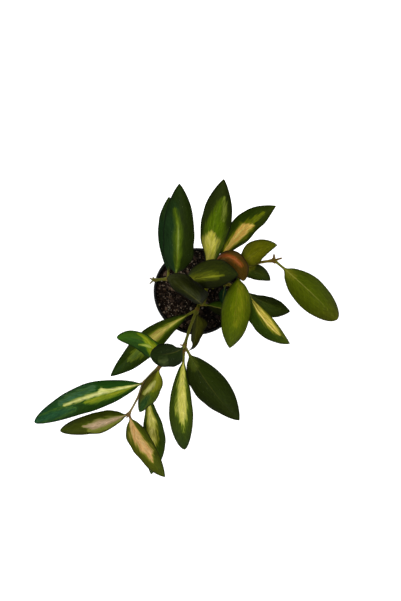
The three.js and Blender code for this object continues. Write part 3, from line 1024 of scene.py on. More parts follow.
@dataclass(frozen=True)
class LeafMaker:
    """Makes leaves of one kind of flesh.

    Attributes:
        petiole_radius: of the round stalk.
        knee: how much thicker the stalk is at the vine, as a share of that.
        knee_reach: how far along the stalk that reaches.
        flare: how much of the blade it takes to turn from round to flat.
        midrib: thickness at the midrib.
        edge: thickness towards the margin.
        margin_power: how square the margin is.
        tip_thinning: the share of the thickness that is lost towards the tip.
        least_half_width: of the very tip.
        round_base: how full the outline is at its base.
        sharp_tip: how full a sharp tip is.
        blunt_tip: how full a blunt tip is.
        groove: depth of the groove along the midrib.
        groove_width: half its width.
        groove_under: how far the midrib stands out below, for that depth.
        groove_fade: the share of that depth that is lost towards the tip.
        puff: how far each half is puffed up, as a share of its width.
        droop: how far the margin turns down, as a share of the width.
        waves: how many waves the margin has.
        wave_offset: how far the right margin's waves are shifted.
        hook_place: the share of the blade where the tip begins to swing.
        end_crowding: how closely the rings crowd at both ends.
        midrib_crowding: how closely the points crowd at the midrib.
        sides: points round it.
        rings: steps along it.
        samples: points on the midrib's curve.
    """

    petiole_radius: float = 1.15
    knee: float = 0.25
    knee_reach: float = 2.5
    flare: float = 7.0
    midrib: float = 1.7
    edge: float = 0.7
    margin_power: int = 8
    tip_thinning: float = 0.45
    least_half_width: float = 0.4
    round_base: float = 0.8
    sharp_tip: float = 0.9
    blunt_tip: float = 0.5
    groove: float = 0.32
    groove_width: float = 0.7
    groove_under: float = 1.2
    groove_fade: float = 0.7
    puff: float = 0.045
    droop: float = 0.03
    waves: float = 1.6
    wave_offset: float = 1.9
    hook_place: float = 0.8
    end_crowding: float = 0.55
    midrib_crowding: float = 1.25
    sides: int = 44
    rings: int = 64
    samples: int = 400

    def build(self, leaf: Leaf, vine: Vine, shift: float) -> bpy.types.Object:
        """Makes one leaf and dresses it.

        Args:
            leaf: its sizes.
            vine: what carries it.
            shift: slides its patterns, so that no two leaves are alike.

        Returns:
            The finished piece.
        """
        piece = tube(self.sides, self.rings)
        shape = points_of(piece)
        t = shape[:, 2] - self.end_crowding * np.sin(math.tau * shape[:, 2]) / math.tau
        centre, tangent, above, total = self._midrib(leaf, vine, t)
        side = unit(np.cross(above, tangent))
        up = np.cross(tangent, side)
        u = (t - leaf.petiole / total) / (1 - leaf.petiole / total)
        hooked = smoothstep((u - self.hook_place) / (1 - self.hook_place)) ** 2
        centre = centre + side * (leaf.hook * hooked)[:, None]
        angle = np.arctan2(shape[:, 1], shape[:, 0])
        v = np.sign(np.cos(angle)) * np.abs(np.cos(angle)) ** self.midrib_crowding
        face = np.sin(angle)
        out, lift, half = self._section(leaf, u, v, face, shift)
        flat = smoothstep(u * (total - leaf.petiole) / self.flare)
        stalk = self.petiole_radius * (1 + self.knee * np.exp(-((t * total / self.knee_reach) ** 2)))
        out = (1 - flat) * stalk * np.cos(angle) + flat * out
        lift = (1 - flat) * stalk * face + flat * lift
        set_points(piece, (centre + side * out[:, None] + up * lift[:, None]) * MM)
        store(piece, "leaf", u, v, face)
        store(piece, "flat", t * total / CM_IN_MM, v * half / CM_IN_MM, (1 - np.abs(v)) * half)
        refine(piece)
        smooth(piece, 60)
        finish = LeafFinish(leaf.paint, shift).build(f"skin_{leaf.name}")
        settle(piece, f"hoya_{leaf.name}", [f"leaf_{leaf.name}"], finish)
        return piece

    def _midrib(
        self, leaf: Leaf, vine: Vine, t: np.ndarray
    ) -> tuple[np.ndarray, np.ndarray, np.ndarray, float]:
        """Lays the midrib as an arc from the vine to the tip.

        Args:
            leaf: its sizes.
            vine: what carries it.
            t: shares of the midrib's length.

        Returns:
            The midrib's places and directions at those shares, the leaf's up, and the midrib's length.
        """
        along = direction(leaf.heading, leaf.rise)
        left, up = crossings(along)
        start = np.array(vine.points[leaf.at], dtype=float)
        end = start + along * leaf.length
        hump = (start + end) / 2 + 2 * leaf.bow * left + 2 * leaf.arch * up
        s = np.linspace(0, 1, self.samples)[:, None]
        line = (1 - s) ** 2 * start + 2 * s * (1 - s) * hump + s**2 * end
        slope = 2 * (1 - s) * (hump - start) + 2 * s * (end - hump)
        run = lengths_along(line)
        centre = read_along(run, line, t * run[-1])
        tangent = unit(read_along(run, slope, t * run[-1]))
        return centre, tangent, np.broadcast_to(up, centre.shape), run[-1]

    def _half_width(self, leaf: Leaf, halves: Sequence[float], u: np.ndarray) -> np.ndarray:
        """Works out half the blade's width.

        Args:
            leaf: its sizes.
            halves: the half widths given for this side.
            u: shares along the blade.

        Returns:
            The half widths there.
        """
        held = np.clip(u, 0.0, 1.0)
        steps = len(halves) + 1
        place = np.clip(held * steps - 1, 0, len(halves) - 1)
        below = np.minimum(place.astype(int), len(halves) - 2)
        marks = np.array(halves) / self._fullness(leaf, np.arange(1, steps) / steps)
        share = smoothstep(place - below)
        width = (marks[below] * (1 - share) + marks[below + 1] * share) * self._fullness(leaf, held)
        return np.maximum(self.least_half_width, width)

    def _fullness(self, leaf: Leaf, u: np.ndarray) -> np.ndarray:
        """How full the outline is: round at the base, and as blunt as the leaf asks at the tip."""
        tip = self.sharp_tip + (self.blunt_tip - self.sharp_tip) * leaf.blunt
        return np.sin(math.pi * np.clip(u, 0, 1)) ** np.where(u < 0.5, self.round_base, tip)

    def _section(
        self, leaf: Leaf, u: np.ndarray, v: np.ndarray, face: np.ndarray, shift: float
    ) -> tuple[np.ndarray, np.ndarray, np.ndarray]:
        """Works out where the blade's surface lies off its midrib.

        Args:
            leaf: its sizes.
            u: share along the blade.
            v: share across it.
            face: 1 on the upper face, -1 on the lower one, and between them at the margin.
            shift: slides the waves of the margin.

        Returns:
            The distances sideways and up, and half the blade's width.
        """
        half = np.where(v > 0, self._half_width(leaf, leaf.left, u), self._half_width(leaf, leaf.right, u))
        half = np.maximum(half, self.petiole_radius * (1 - np.clip(u, 0, 1)))
        reach, across = v * half, np.abs(v)
        slope = np.radians(leaf.fold + np.sign(v) * leaf.roll)
        broad = np.clip(u, 0, 1)
        thick = (self.midrib + (self.edge - self.midrib) * across) * (1 - self.tip_thinning * broad)
        body = 0.5 * thick * np.sqrt(np.clip(1 - v**self.margin_power, 0, 1)) * np.sign(face)
        puff = self.puff * half * 4 * across * (1 - across) - self.droop * half * v**4
        phase = math.tau * self.waves * broad + shift + np.where(v > 0, 0.0, self.wave_offset)
        wave = leaf.wave * across**3 * np.sin(phase) * np.sin(math.pi * broad)
        depth = self.groove * (1 - self.groove_fade * broad) * np.where(face > 0, 1.0, self.groove_under)
        groove = depth * np.exp(-((reach / self.groove_width) ** 2))
        return reach * np.cos(slope), np.abs(reach) * np.sin(slope) + body + puff + wave - groove, half


LEAVES = (
    Leaf(
        "back_left", "left", 5, heading=87, rise=18, length=85, slot=Slot.DARK,
        left=(11.5, 13.2, 13, 9.5), right=(13, 14.2, 13.2, 9.5),
        petiole=4.5, bow=-1.5, arch=7, fold=12, roll=-4,
        paint=LeafPaint("1c3216", "1f2b05", "1d2a06", "3f5208", rib=0.05, bands=(
            Band("68782e", path=(
                (0.0, -0.02, 0.08), (0.12, 0.0, 0.09), (0.24, 0.0, 0.02))),
            Band("7a8428", tint="566a14", ragged=0.3, halo=0.36, soft=0.1, path=(
                (0.1, -0.02, 0.03), (0.25, 0.0, 0.06), (0.45, 0.03, 0.08), (0.56, 0.06, 0.05),
                (0.64, 0.15, 0.0), (0.74, 0.33, -0.04))),
            Band("8c9a4c", ragged=0.05, halo=0.04, soft=0.05, path=(
                (0.2, 0.0, -0.02), (0.35, 0.01, 0.02), (0.52, 0.03, 0.02), (0.6, 0.08, -0.03))),
        )),
    ),
    Leaf(
        "back_left_under", "left", 6, heading=89, rise=5, length=72, slot=Slot.DARK,
        left=(6.5, 10, 10.5, 8), right=(6, 9, 9, 7),
        bow=-1, arch=-3, roll=6,
        paint=LeafPaint("1c3418", "1f2f0d", "26350f", rib=0.1),
    ),
    Leaf(
        "back_middle", "right", 2, heading=81, rise=28.5, length=94.5, slot=Slot.STRIPED,
        left=(4.5, 10, 11.5, 9), right=(8, 13, 15, 11.2),
        petiole=8, bow=2.5, arch=7, fold=10,
        paint=LeafPaint("26300a", "232d07", "222a08", "3c4c05", rib=0.15, bands=(
            Band("445a02", tint="4e6404", ragged=0.4, halo=0.4, soft=0.3, path=(
                (0.0, 0.0, 0.82), (0.4, -0.03, 0.68), (0.58, -0.08, 0.44), (0.7, -0.15, 0.2),
                (0.82, -0.3, 0.0))),
            Band("6f7a2c", ragged=0.5, halo=0.2, soft=0.14, path=(
                (0.6, -0.5, 0.05), (0.7, -0.48, 0.1), (0.84, -0.42, 0.03))),
            Band("bcb450", tint="a4a034", ragged=0.8, halo=0.26, soft=0.26, path=(
                (0.0, 0.08, 0.7), (0.3, 0.12, 0.7), (0.4, 0.12, 0.56), (0.46, 0.1, 0.2))),
        )),
    ),
    Leaf(
        "back_right", "right", 4, heading=44, rise=16.5, length=74, slot=Slot.STRIPED,
        left=(9.6, 11.8, 12.3, 8.5), right=(6, 9.8, 8.4, 6.8),
        bow=5, arch=-2, fold=8, blunt=0,
        paint=LeafPaint("2c3d07", "2b3806", "2a3504", "6c740a", rib=0.3, bands=(
            Band("4e5c08", ragged=0.6, halo=0.3, soft=0.3, path=(
                (0.55, 0.1, 0.1), (0.7, 0.0, 0.08), (0.82, 0.0, -0.05))),
            Band("dcc060", tint="c89c48", ragged=0.5, halo=0.34, soft=0.12, path=(
                (0.0, -0.12, 0.16), (0.15, -0.12, 0.24), (0.3, -0.12, 0.32), (0.46, -0.08, 0.4),
                (0.52, 0.0, 0.4), (0.57, -0.2, 0.28), (0.62, -0.3, 0.1))),
        )),
    ),
    Leaf(
        "copper", "right", 3, heading=-24, rise=19.6, length=32, slot=Slot.COPPER,
        left=(5.4, 7, 7.6, 7.2), right=(5, 8, 8, 6.5),
        petiole=3, bow=14, arch=8, fold=0, roll=-16, blunt=0.8,
        paint=LeafPaint("48340a", "422e08", "44320a", "744014", rib=0.05, stalk="6a4a1c", bands=(
            Band("985834", tint="7c3c14", ragged=0.5, halo=0.42, soft=0.16, path=(
                (0.04, 0.75, 0.06), (0.2, 0.6, 0.08), (0.32, 0.28, 0.1), (0.45, 0.06, 0.1),
                (0.58, 0.04, 0.1), (0.66, 0.2, 0.06), (0.72, 0.3, -0.05))),
        )),
    ),
    Leaf(
        "centre_right", "left", 4, heading=6.5, rise=15.5, length=54, slot=Slot.STRIPED,
        left=(9.5, 14, 15, 12), right=(6.5, 9.5, 10, 7),
        petiole=5, bow=1, arch=5, fold=0,
        paint=LeafPaint("2b3207", "1c2008", "1f260a", "444c0a", rib=0.1, bands=(
            Band("6c6e1a", tint="50560c", ragged=0.5, halo=0.4, soft=0.24, path=(
                (0.0, 0.2, 0.26), (0.12, 0.16, 0.24), (0.22, 0.1, 0.2), (0.35, 0.04, 0.15),
                (0.5, 0.02, 0.12), (0.66, 0.0, 0.03))),
            Band("707418", ragged=0.15, halo=0.12, soft=0.05, path=(
                (0.25, 0.0, 0.03), (0.45, 0.0, 0.06), (0.62, 0.0, 0.05), (0.76, 0.0, 0.01))),
        )),
    ),
    Leaf(
        "centre_left", "left", 2, heading=142, rise=43, length=52, slot=Slot.DARK,
        left=(3.5, 4, 4.8, 6), right=(10, 12, 12.5, 12),
        petiole=7, arch=14, fold=-5, roll=-20, blunt=1,
        # Its pale grey tip and the band near its midrib are painted sheen.
        paint=LeafPaint("161a02", "111401", "2a2e14", "1c2002", rib=0.12, bands=(
            Band("272c0c", tint="2e3218", ragged=0.7, halo=0.4, soft=0.3, path=(
                (0.3, -0.1, 0.1), (0.5, -0.12, 0.2), (0.7, -0.1, 0.2), (0.9, 0.0, 0.1))),
        )),
    ),
    Leaf(
        "low_right", "left", 2, heading=-13, rise=-5.5, length=41, slot=Slot.DARK,
        left=(5, 7, 7, 5), right=(5, 7, 7.5, 6),
        petiole=3.5, arch=1, fold=10,
        paint=LeafPaint("2d4205", "1c2008", "263205", rib=0.45),
    ),
    Leaf(
        "curled", "trailing", 2, heading=-99, rise=-20, length=41, slot=Slot.DARK,
        left=(9, 6.6, 4.5, 3), right=(6, 7.2, 6.2, 1.5),
        petiole=2.5, bow=3, fold=30, roll=-18, blunt=0, hook=-1.5,
        paint=LeafPaint("2e2e08", "2a2c09", "222407", "3a3c0c", rib=0.1, bands=(
            Band("3c3e0c", ragged=0.7, halo=0.3, soft=0.2, path=(
                (0.1, 0.1, 0.2), (0.4, 0.15, 0.25), (0.7, 0.1, 0.1))),
        )),
    ),
    Leaf(
        "front_left", "trailing", 2, heading=-142.5, rise=-11, length=102.5, slot=Slot.STRIPED,
        left=(7, 12, 13.2, 10.2), right=(6.8, 10, 9, 5.2),
        petiole=8, bow=-5, fold=10,
        paint=LeafPaint("2c3c05", "293705", "1c3008", "5c6a10", rib=0.1, bands=(
            Band("46581a", ragged=0.7, halo=0.3, soft=0.25, path=(
                (0.56, 0.15, 0.1), (0.64, 0.2, 0.2), (0.74, 0.18, 0.06))),
            Band("b0a650", tint="9c8840", ragged=0.5, halo=0.34, soft=0.14, path=(
                (0.03, 0.0, 0.06), (0.1, 0.0, 0.18), (0.3, 0.03, 0.26), (0.42, 0.06, 0.28),
                (0.5, 0.12, 0.14))),
        )),
    ),
    Leaf(
        "front_right", "right", 6, heading=-96, rise=-14, length=74.5, slot=Slot.PLAIN,
        left=(11, 14, 13, 9.3), right=(9, 12.5, 11.6, 8.4),
        petiole=8, bow=1, arch=8, fold=-5,
        paint=LeafPaint("4c5903", "4a5803", "3c4906", "505d03", rib=0.04, bands=(
            Band("60690a", tint="6c6c10", ragged=0.9, halo=0.5, soft=0.4, path=(
                (0.05, 0.3, 0.2), (0.25, 0.35, 0.3), (0.45, 0.3, 0.25), (0.65, 0.2, 0.0))),
        )),
    ),
    Leaf(
        "right_upper", "right", 6, heading=30.3, rise=13.3, length=39.5, slot=Slot.PLAIN,
        left=(6.2, 9.8, 9.2, 6.2), right=(8.6, 10, 7.6, 4.6),
        petiole=2.5, bow=4.5, arch=2, fold=0,
        paint=LeafPaint("505204", "535404", "454a06", "585a06", rib=0.05, bands=(
            Band("5c5a08", ragged=0.4, halo=0.4, soft=0.3, path=(
                (0.0, -0.2, 0.7), (0.2, -0.2, 0.5), (0.34, -0.2, 0.1))),
        )),
    ),
    Leaf(
        "right_lower", "right", 6, heading=-21.6, rise=-12.6, length=31.3, slot=Slot.DARK,
        left=(6.2, 7, 6.8, 4.8), right=(6.5, 7, 6.4, 4),
        petiole=2.5, bow=2.3, arch=1, fold=0,
        paint=LeafPaint("2a3306", "2b3606", "232b08", "3c4606", rib=0.08, bands=(
            Band("4a4c06", ragged=0.4, halo=0.4, soft=0.25, path=(
                (0.0, 0.0, 0.9), (0.22, 0.3, 0.7), (0.38, 0.5, 0.2))),
        )),
    ),
    Leaf(
        "far_right", "right", 9, heading=-42.5, rise=-6, length=77.5, slot=Slot.PLAIN,
        left=(9, 13.1, 12.8, 10), right=(10.5, 14.5, 15, 11.6),
        petiole=10, bow=1, arch=4, fold=-4, blunt=1,
        paint=LeafPaint("3f4b04", "424c04", "424608", "50560a", rib=0.35, bands=(
            Band("585a10", ragged=0.4, halo=0.5, soft=0.3, path=(
                (0.0, 0.0, 0.8), (0.1, 0.0, 0.45), (0.2, 0.0, 0.1))),
        )),
    ),
    Leaf(
        "side_striped", "side", 6, heading=-50, rise=-11, length=62.5, slot=Slot.STRIPED,
        left=(5.5, 9, 8.4, 5.2), right=(11, 13.1, 12.2, 7.8),
        petiole=5, bow=-3, arch=5, fold=30, roll=26,
        paint=LeafPaint("5c6010", "2a3c06", "3a4808", "80821a", rib=0.0, bands=(
            Band("d4c056", tint="a8983c", ragged=0.3, halo=0.3, soft=0.14, path=(
                (0.06, 0.3, 0.2), (0.16, 0.3, 0.34), (0.4, 0.26, 0.36), (0.6, 0.22, 0.32), (0.7, 0.14, 0.2),
                (0.76, 0.05, 0.04))),
            Band("e6cf70", ragged=0.03, halo=0.04, soft=0.04, path=(
                (0.08, -0.1, 0.02), (0.3, -0.1, 0.05), (0.6, -0.1, 0.05), (0.78, -0.05, 0.01))),
        )),
    ),
    Leaf(
        "side_plain", "side", 5, heading=-24, rise=-16, length=49, slot=Slot.DARK,
        left=(2.8, 5.8, 7, 5.5), right=(6, 9, 11, 8),
        petiole=4, bow=-2, arch=-2, fold=4,
        paint=LeafPaint("222b06", "283308", "283209", "2c3808", rib=0.06, bands=(
            Band("303d0c", ragged=0.7, halo=0.4, soft=0.3, path=(
                (0.4, -0.4, 0.3), (0.6, -0.4, 0.4), (0.8, -0.3, 0.2))),
        )),
    ),
    Leaf(
        "side_small", "side", 3, heading=-100, rise=-8, length=18, slot=Slot.DARK,
        left=(3.5, 4.5, 4, 3), right=(3.5, 4.5, 4, 3),
        petiole=3, arch=1,
        paint=LeafPaint("14301c", "102a14", "143018", rib=0.3),
    ),
    Leaf(
        "trail_broad", "trailing", 4, heading=-54.5, rise=-16, length=88.5, slot=Slot.DARK,
        left=(10.5, 15.2, 15, 10.4), right=(12, 14.8, 12.6, 7.5),
        petiole=8, bow=-3, arch=5,
        paint=LeafPaint("212c05", "1e2705", "212807", "333c0c", rib=0.07, bands=(
            Band("36400e", ragged=0.4, halo=0.4, soft=0.3, path=(
                (0.0, -0.1, 0.9), (0.08, -0.1, 0.6), (0.18, -0.2, 0.1))),
        )),
    ),
    Leaf(
        "trail_striped", "trailing", 5, heading=-90, rise=-19.5, length=98.5, slot=Slot.STRIPED,
        left=(5, 7.8, 9.3, 7.2), right=(7.8, 11.8, 12.8, 9.8),
        petiole=8, bow=-1, arch=5, fold=8, blunt=0.8,
        paint=LeafPaint("3a4a0a", "36460b", "26350a", "68781a", rib=0.1, bands=(
            Band("c2ba60", tint="b0ac48", ragged=0.7, halo=0.3, soft=0.14, path=(
                (0.02, 0.0, 0.3), (0.12, -0.02, 0.38), (0.35, -0.03, 0.36), (0.52, -0.03, 0.4),
                (0.6, 0.0, 0.26), (0.68, 0.03, 0.06), (0.78, 0.02, -0.1))),
        )),
    ),
    Leaf(
        "trail_upright", "trailing", 4, heading=-168, rise=41.5, length=39.5, slot=Slot.DARK,
        left=(9.5, 12, 11.2, 10), right=(3.2, 7.6, 9.2, 8.6),
        petiole=5, bow=3, arch=5, fold=5, blunt=1,
        paint=LeafPaint("172304", "152002", "1a2608", "202c0c", rib=0.08, bands=(
            # This band is a painted sheen on the dark blade.
            Band("4a5628", tint="3a4620", ragged=0.7, halo=0.4, soft=0.3, path=(
                (0.6, 0.5, 0.05), (0.7, 0.6, 0.16), (0.82, 0.55, 0.08))),
        )),
    ),
    Leaf(
        "trail_small_left", "trailing", 6, heading=146, rise=4, length=46, slot=Slot.STRIPED,
        left=(8, 9.3, 8.6, 6.4), right=(7, 6.3, 6.3, 5.6),
        petiole=5, bow=-11, arch=4, blunt=0.8,
        paint=LeafPaint("2c4c18", "345412", "2f520d", "5a7c12", rib=0.15, bands=(
            Band("8a9620", tint="727c10", ragged=0.5, halo=0.3, soft=0.18, path=(
                (0.1, 0.0, 0.7), (0.28, -0.1, 0.5), (0.38, -0.2, 0.42), (0.46, -0.42, 0.3),
                (0.55, -0.6, 0.14), (0.62, -0.7, 0.02))),
            Band("a0a848", ragged=0.3, halo=0.2, soft=0.12, path=(
                (0.3, 0.0, 0.02), (0.38, 0.12, 0.1), (0.46, 0.35, 0.06), (0.54, 0.5, 0.02))),
        )),
    ),
    Leaf(
        "trail_small_right", "trailing", 6, heading=-114, rise=-19, length=49.5, slot=Slot.STRIPED,
        left=(7.6, 8.6, 8.3, 4.6), right=(6.4, 8.2, 7.5, 5.6),
        petiole=2.5, bow=1, blunt=0.6,
        paint=LeafPaint("4a5a0e", "42400c", "20380f", "5c640f", rib=0.05, stalk="5c4420", bands=(
            Band("26401a", tint="1e3812", ragged=0.9, halo=0.06, soft=0.5, path=(
                (0.56, 0.1, 0.3), (0.7, 0.0, 0.6), (0.95, 0.0, 0.9))),
            Band("74761a", ragged=0.5, halo=0.3, soft=0.25, path=(
                (0.04, 0.35, 0.4), (0.2, 0.45, 0.4), (0.33, 0.35, 0.34), (0.45, 0.2, 0.08))),
            Band("a9a264", tint="9a9a48", ragged=0.7, halo=0.3, soft=0.2, path=(
                (0.24, 0.1, 0.06), (0.32, 0.0, 0.2), (0.42, -0.14, 0.24), (0.5, -0.34, 0.16),
                (0.58, -0.5, 0.04))),
        )),
    ),
    Leaf(
        "trail_long", "trailing", 7, heading=-159.5, rise=-10.5, length=111, slot=Slot.STRIPED,
        left=(9.2, 12.4, 11.3, 8.6), right=(9, 13.8, 12.8, 8.8),
        petiole=1.5, bow=-4.5, arch=5, fold=10, blunt=0.8,
        paint=LeafPaint("1e3a0a", "1e420f", "1b4429", "46640f", rib=0.05, bands=(
            Band("2c5032", tint="3c6444", ragged=0.6, halo=0.06, soft=0.4, path=(
                (0.38, -0.55, 0.1), (0.5, -0.5, 0.3), (0.7, -0.4, 0.3))),
            Band("1e4626", tint="163e22", ragged=0.6, halo=0.06, soft=0.4, path=(
                (0.6, 0.4, 0.2), (0.75, 0.3, 0.5), (0.95, 0.0, 0.8))),
            Band("86881c", tint="667818", ragged=0.5, halo=0.24, soft=0.14, path=(
                (0.02, 0.22, 0.12), (0.15, 0.28, 0.16), (0.35, 0.26, 0.17), (0.45, 0.24, 0.12),
                (0.5, 0.2, 0.04))),
            Band("d0ce88", tint="b0b45c", ragged=0.3, halo=0.14, soft=0.1, path=(
                (0.0, 0.0, 0.2), (0.08, 0.02, 0.15), (0.2, -0.05, 0.13), (0.29, -0.1, 0.16),
                (0.33, -0.22, 0.24), (0.37, -0.08, 0.12), (0.5, -0.1, 0.1), (0.62, -0.14, 0.08),
                (0.68, -0.2, 0.06))),
        )),
    ),
    Leaf(
        "trail_under", "trailing", 7, heading=-87.5, rise=-27.5, length=103.5, slot=Slot.STRIPED,
        left=(5, 9.6, 11.5, 8.7), right=(5, 9, 9.5, 7.5),
        petiole=12, bow=5, arch=-3,
        paint=LeafPaint("344804", "324604", "30440a", "8a8c20", rib=0.1, bands=(
            Band("d4ca70", tint="b0ac44", ragged=0.6, halo=0.34, soft=0.16, path=(
                (0.14, -0.15, 0.2), (0.26, -0.18, 0.32), (0.34, -0.05, 0.44), (0.4, -0.12, 0.32),
                (0.56, -0.05, 0.28), (0.66, 0.0, 0.06))),
        )),
    ),
    Leaf(
        "trail_pink", "trailing", 9, heading=-165.5, rise=-7, length=67.5, slot=Slot.STRIPED,
        left=(6, 9.2, 7.4, 5.3), right=(9, 11, 10.4, 8),
        petiole=1, bow=1.5, arch=4, fold=8, blunt=0.8,
        paint=LeafPaint("3e450a", "3a430a", "353f0a", "6e7424", rib=0.05, stalk="6e5230", bands=(
            Band("8a8c44", tint="6e7828", ragged=0.6, halo=0.3, soft=0.25, path=(
                (0.1, 0.45, 0.2), (0.3, 0.5, 0.25), (0.5, 0.5, 0.2), (0.58, 0.55, 0.05))),
            Band("bea286", tint="a08864", ragged=0.6, halo=0.3, soft=0.2, path=(
                (0.0, 0.08, 0.06), (0.06, 0.08, 0.1), (0.15, 0.05, 0.22), (0.4, 0.04, 0.28),
                (0.5, 0.14, 0.3), (0.56, 0.02, 0.2), (0.64, -0.08, 0.04))),
        )),
    ),
    Leaf(
        "trail_peach", "trailing", 9, heading=-61.5, rise=-10, length=70, slot=Slot.STRIPED,
        left=(8, 10, 9.5, 6.5), right=(10, 10.5, 8.5, 6.5),
        petiole=2.5, bow=-2.5, arch=4, fold=8,
        paint=LeafPaint("434c0a", "4c520c", "3c460e", "86802a", rib=0.1, stalk="6e5230", bands=(
            Band("c09e66", tint="b88c52", ragged=0.6, halo=0.3, soft=0.14, path=(
                (0.02, -0.12, 0.3), (0.12, -0.15, 0.34), (0.35, -0.08, 0.34), (0.48, 0.04, 0.4),
                (0.56, 0.2, 0.4), (0.61, 0.06, 0.22), (0.7, -0.02, 0.02))),
        )),
    ),
)


# ---- Pot ----


@dataclass(frozen=True)
class PotFinish:
    """Black moulded plastic with a soft sheen, fine scuffs and dried splashes of the mix.

    Attributes:
        body: the plastic.
        scuff: where it is rubbed.
        dust: dried splashes.
        gloss: the specular level.
        relief: height of the bumps.
        grain_waves: how many grains of the moulded skin there are for each metre.
        cloud_waves: the same of the soft clouds.
        scratch_waves: the same of the scratches round it.
        dust_waves: the same of the splashes.
        scuffing: the noise levels at which a scuff begins and is full.
        splashing: the same of the splashes.
        splashed: how far a splash hides the plastic.
    """

    body: str = "111111"
    scuff: str = "2a2927"
    dust: str = "463c32"
    gloss: float = 0.25
    relief: float = 0.05
    grain_waves: Point = (2600, 2600, 2600)
    cloud_waves: Point = (60, 60, 60)
    scratch_waves: Point = (90, 90, 900)
    dust_waves: Point = (420, 420, 420)
    scuffing: Span = (0.12, 0.4)
    splashing: Span = (0.14, 0.26)
    splashed: float = 0.6

    def build(self) -> bpy.types.Material:
        """Makes the material.

        Returns:
            The material.
        """
        shader = Shader("pot_plastic")
        place = shader.place()
        grain = shader.noise(place, self.grain_waves, 2)
        clouds = shader.noise(place, self.cloud_waves, 4)
        scratches = shader.noise(place, self.scratch_waves, 3, 3.0)
        dust = (shader.noise(place, self.dust_waves, 3, 9.0) + 0.3 * clouds).ease(*self.splashing)
        rubbed = (scratches + 0.4 * clouds).ease(*self.scuffing)
        colour = shader.mix(rubbed, pigment(self.body), pigment(self.scuff))
        colour = shader.mix(dust * self.splashed, colour, pigment(self.dust))
        roughness = 0.42 + 0.2 * clouds + 0.35 * dust
        sockets = {"Base Color": colour, "Roughness": roughness, "Specular IOR Level": self.gloss}
        return shader.finish(sockets, 0.6 * grain + scratches, self.relief)


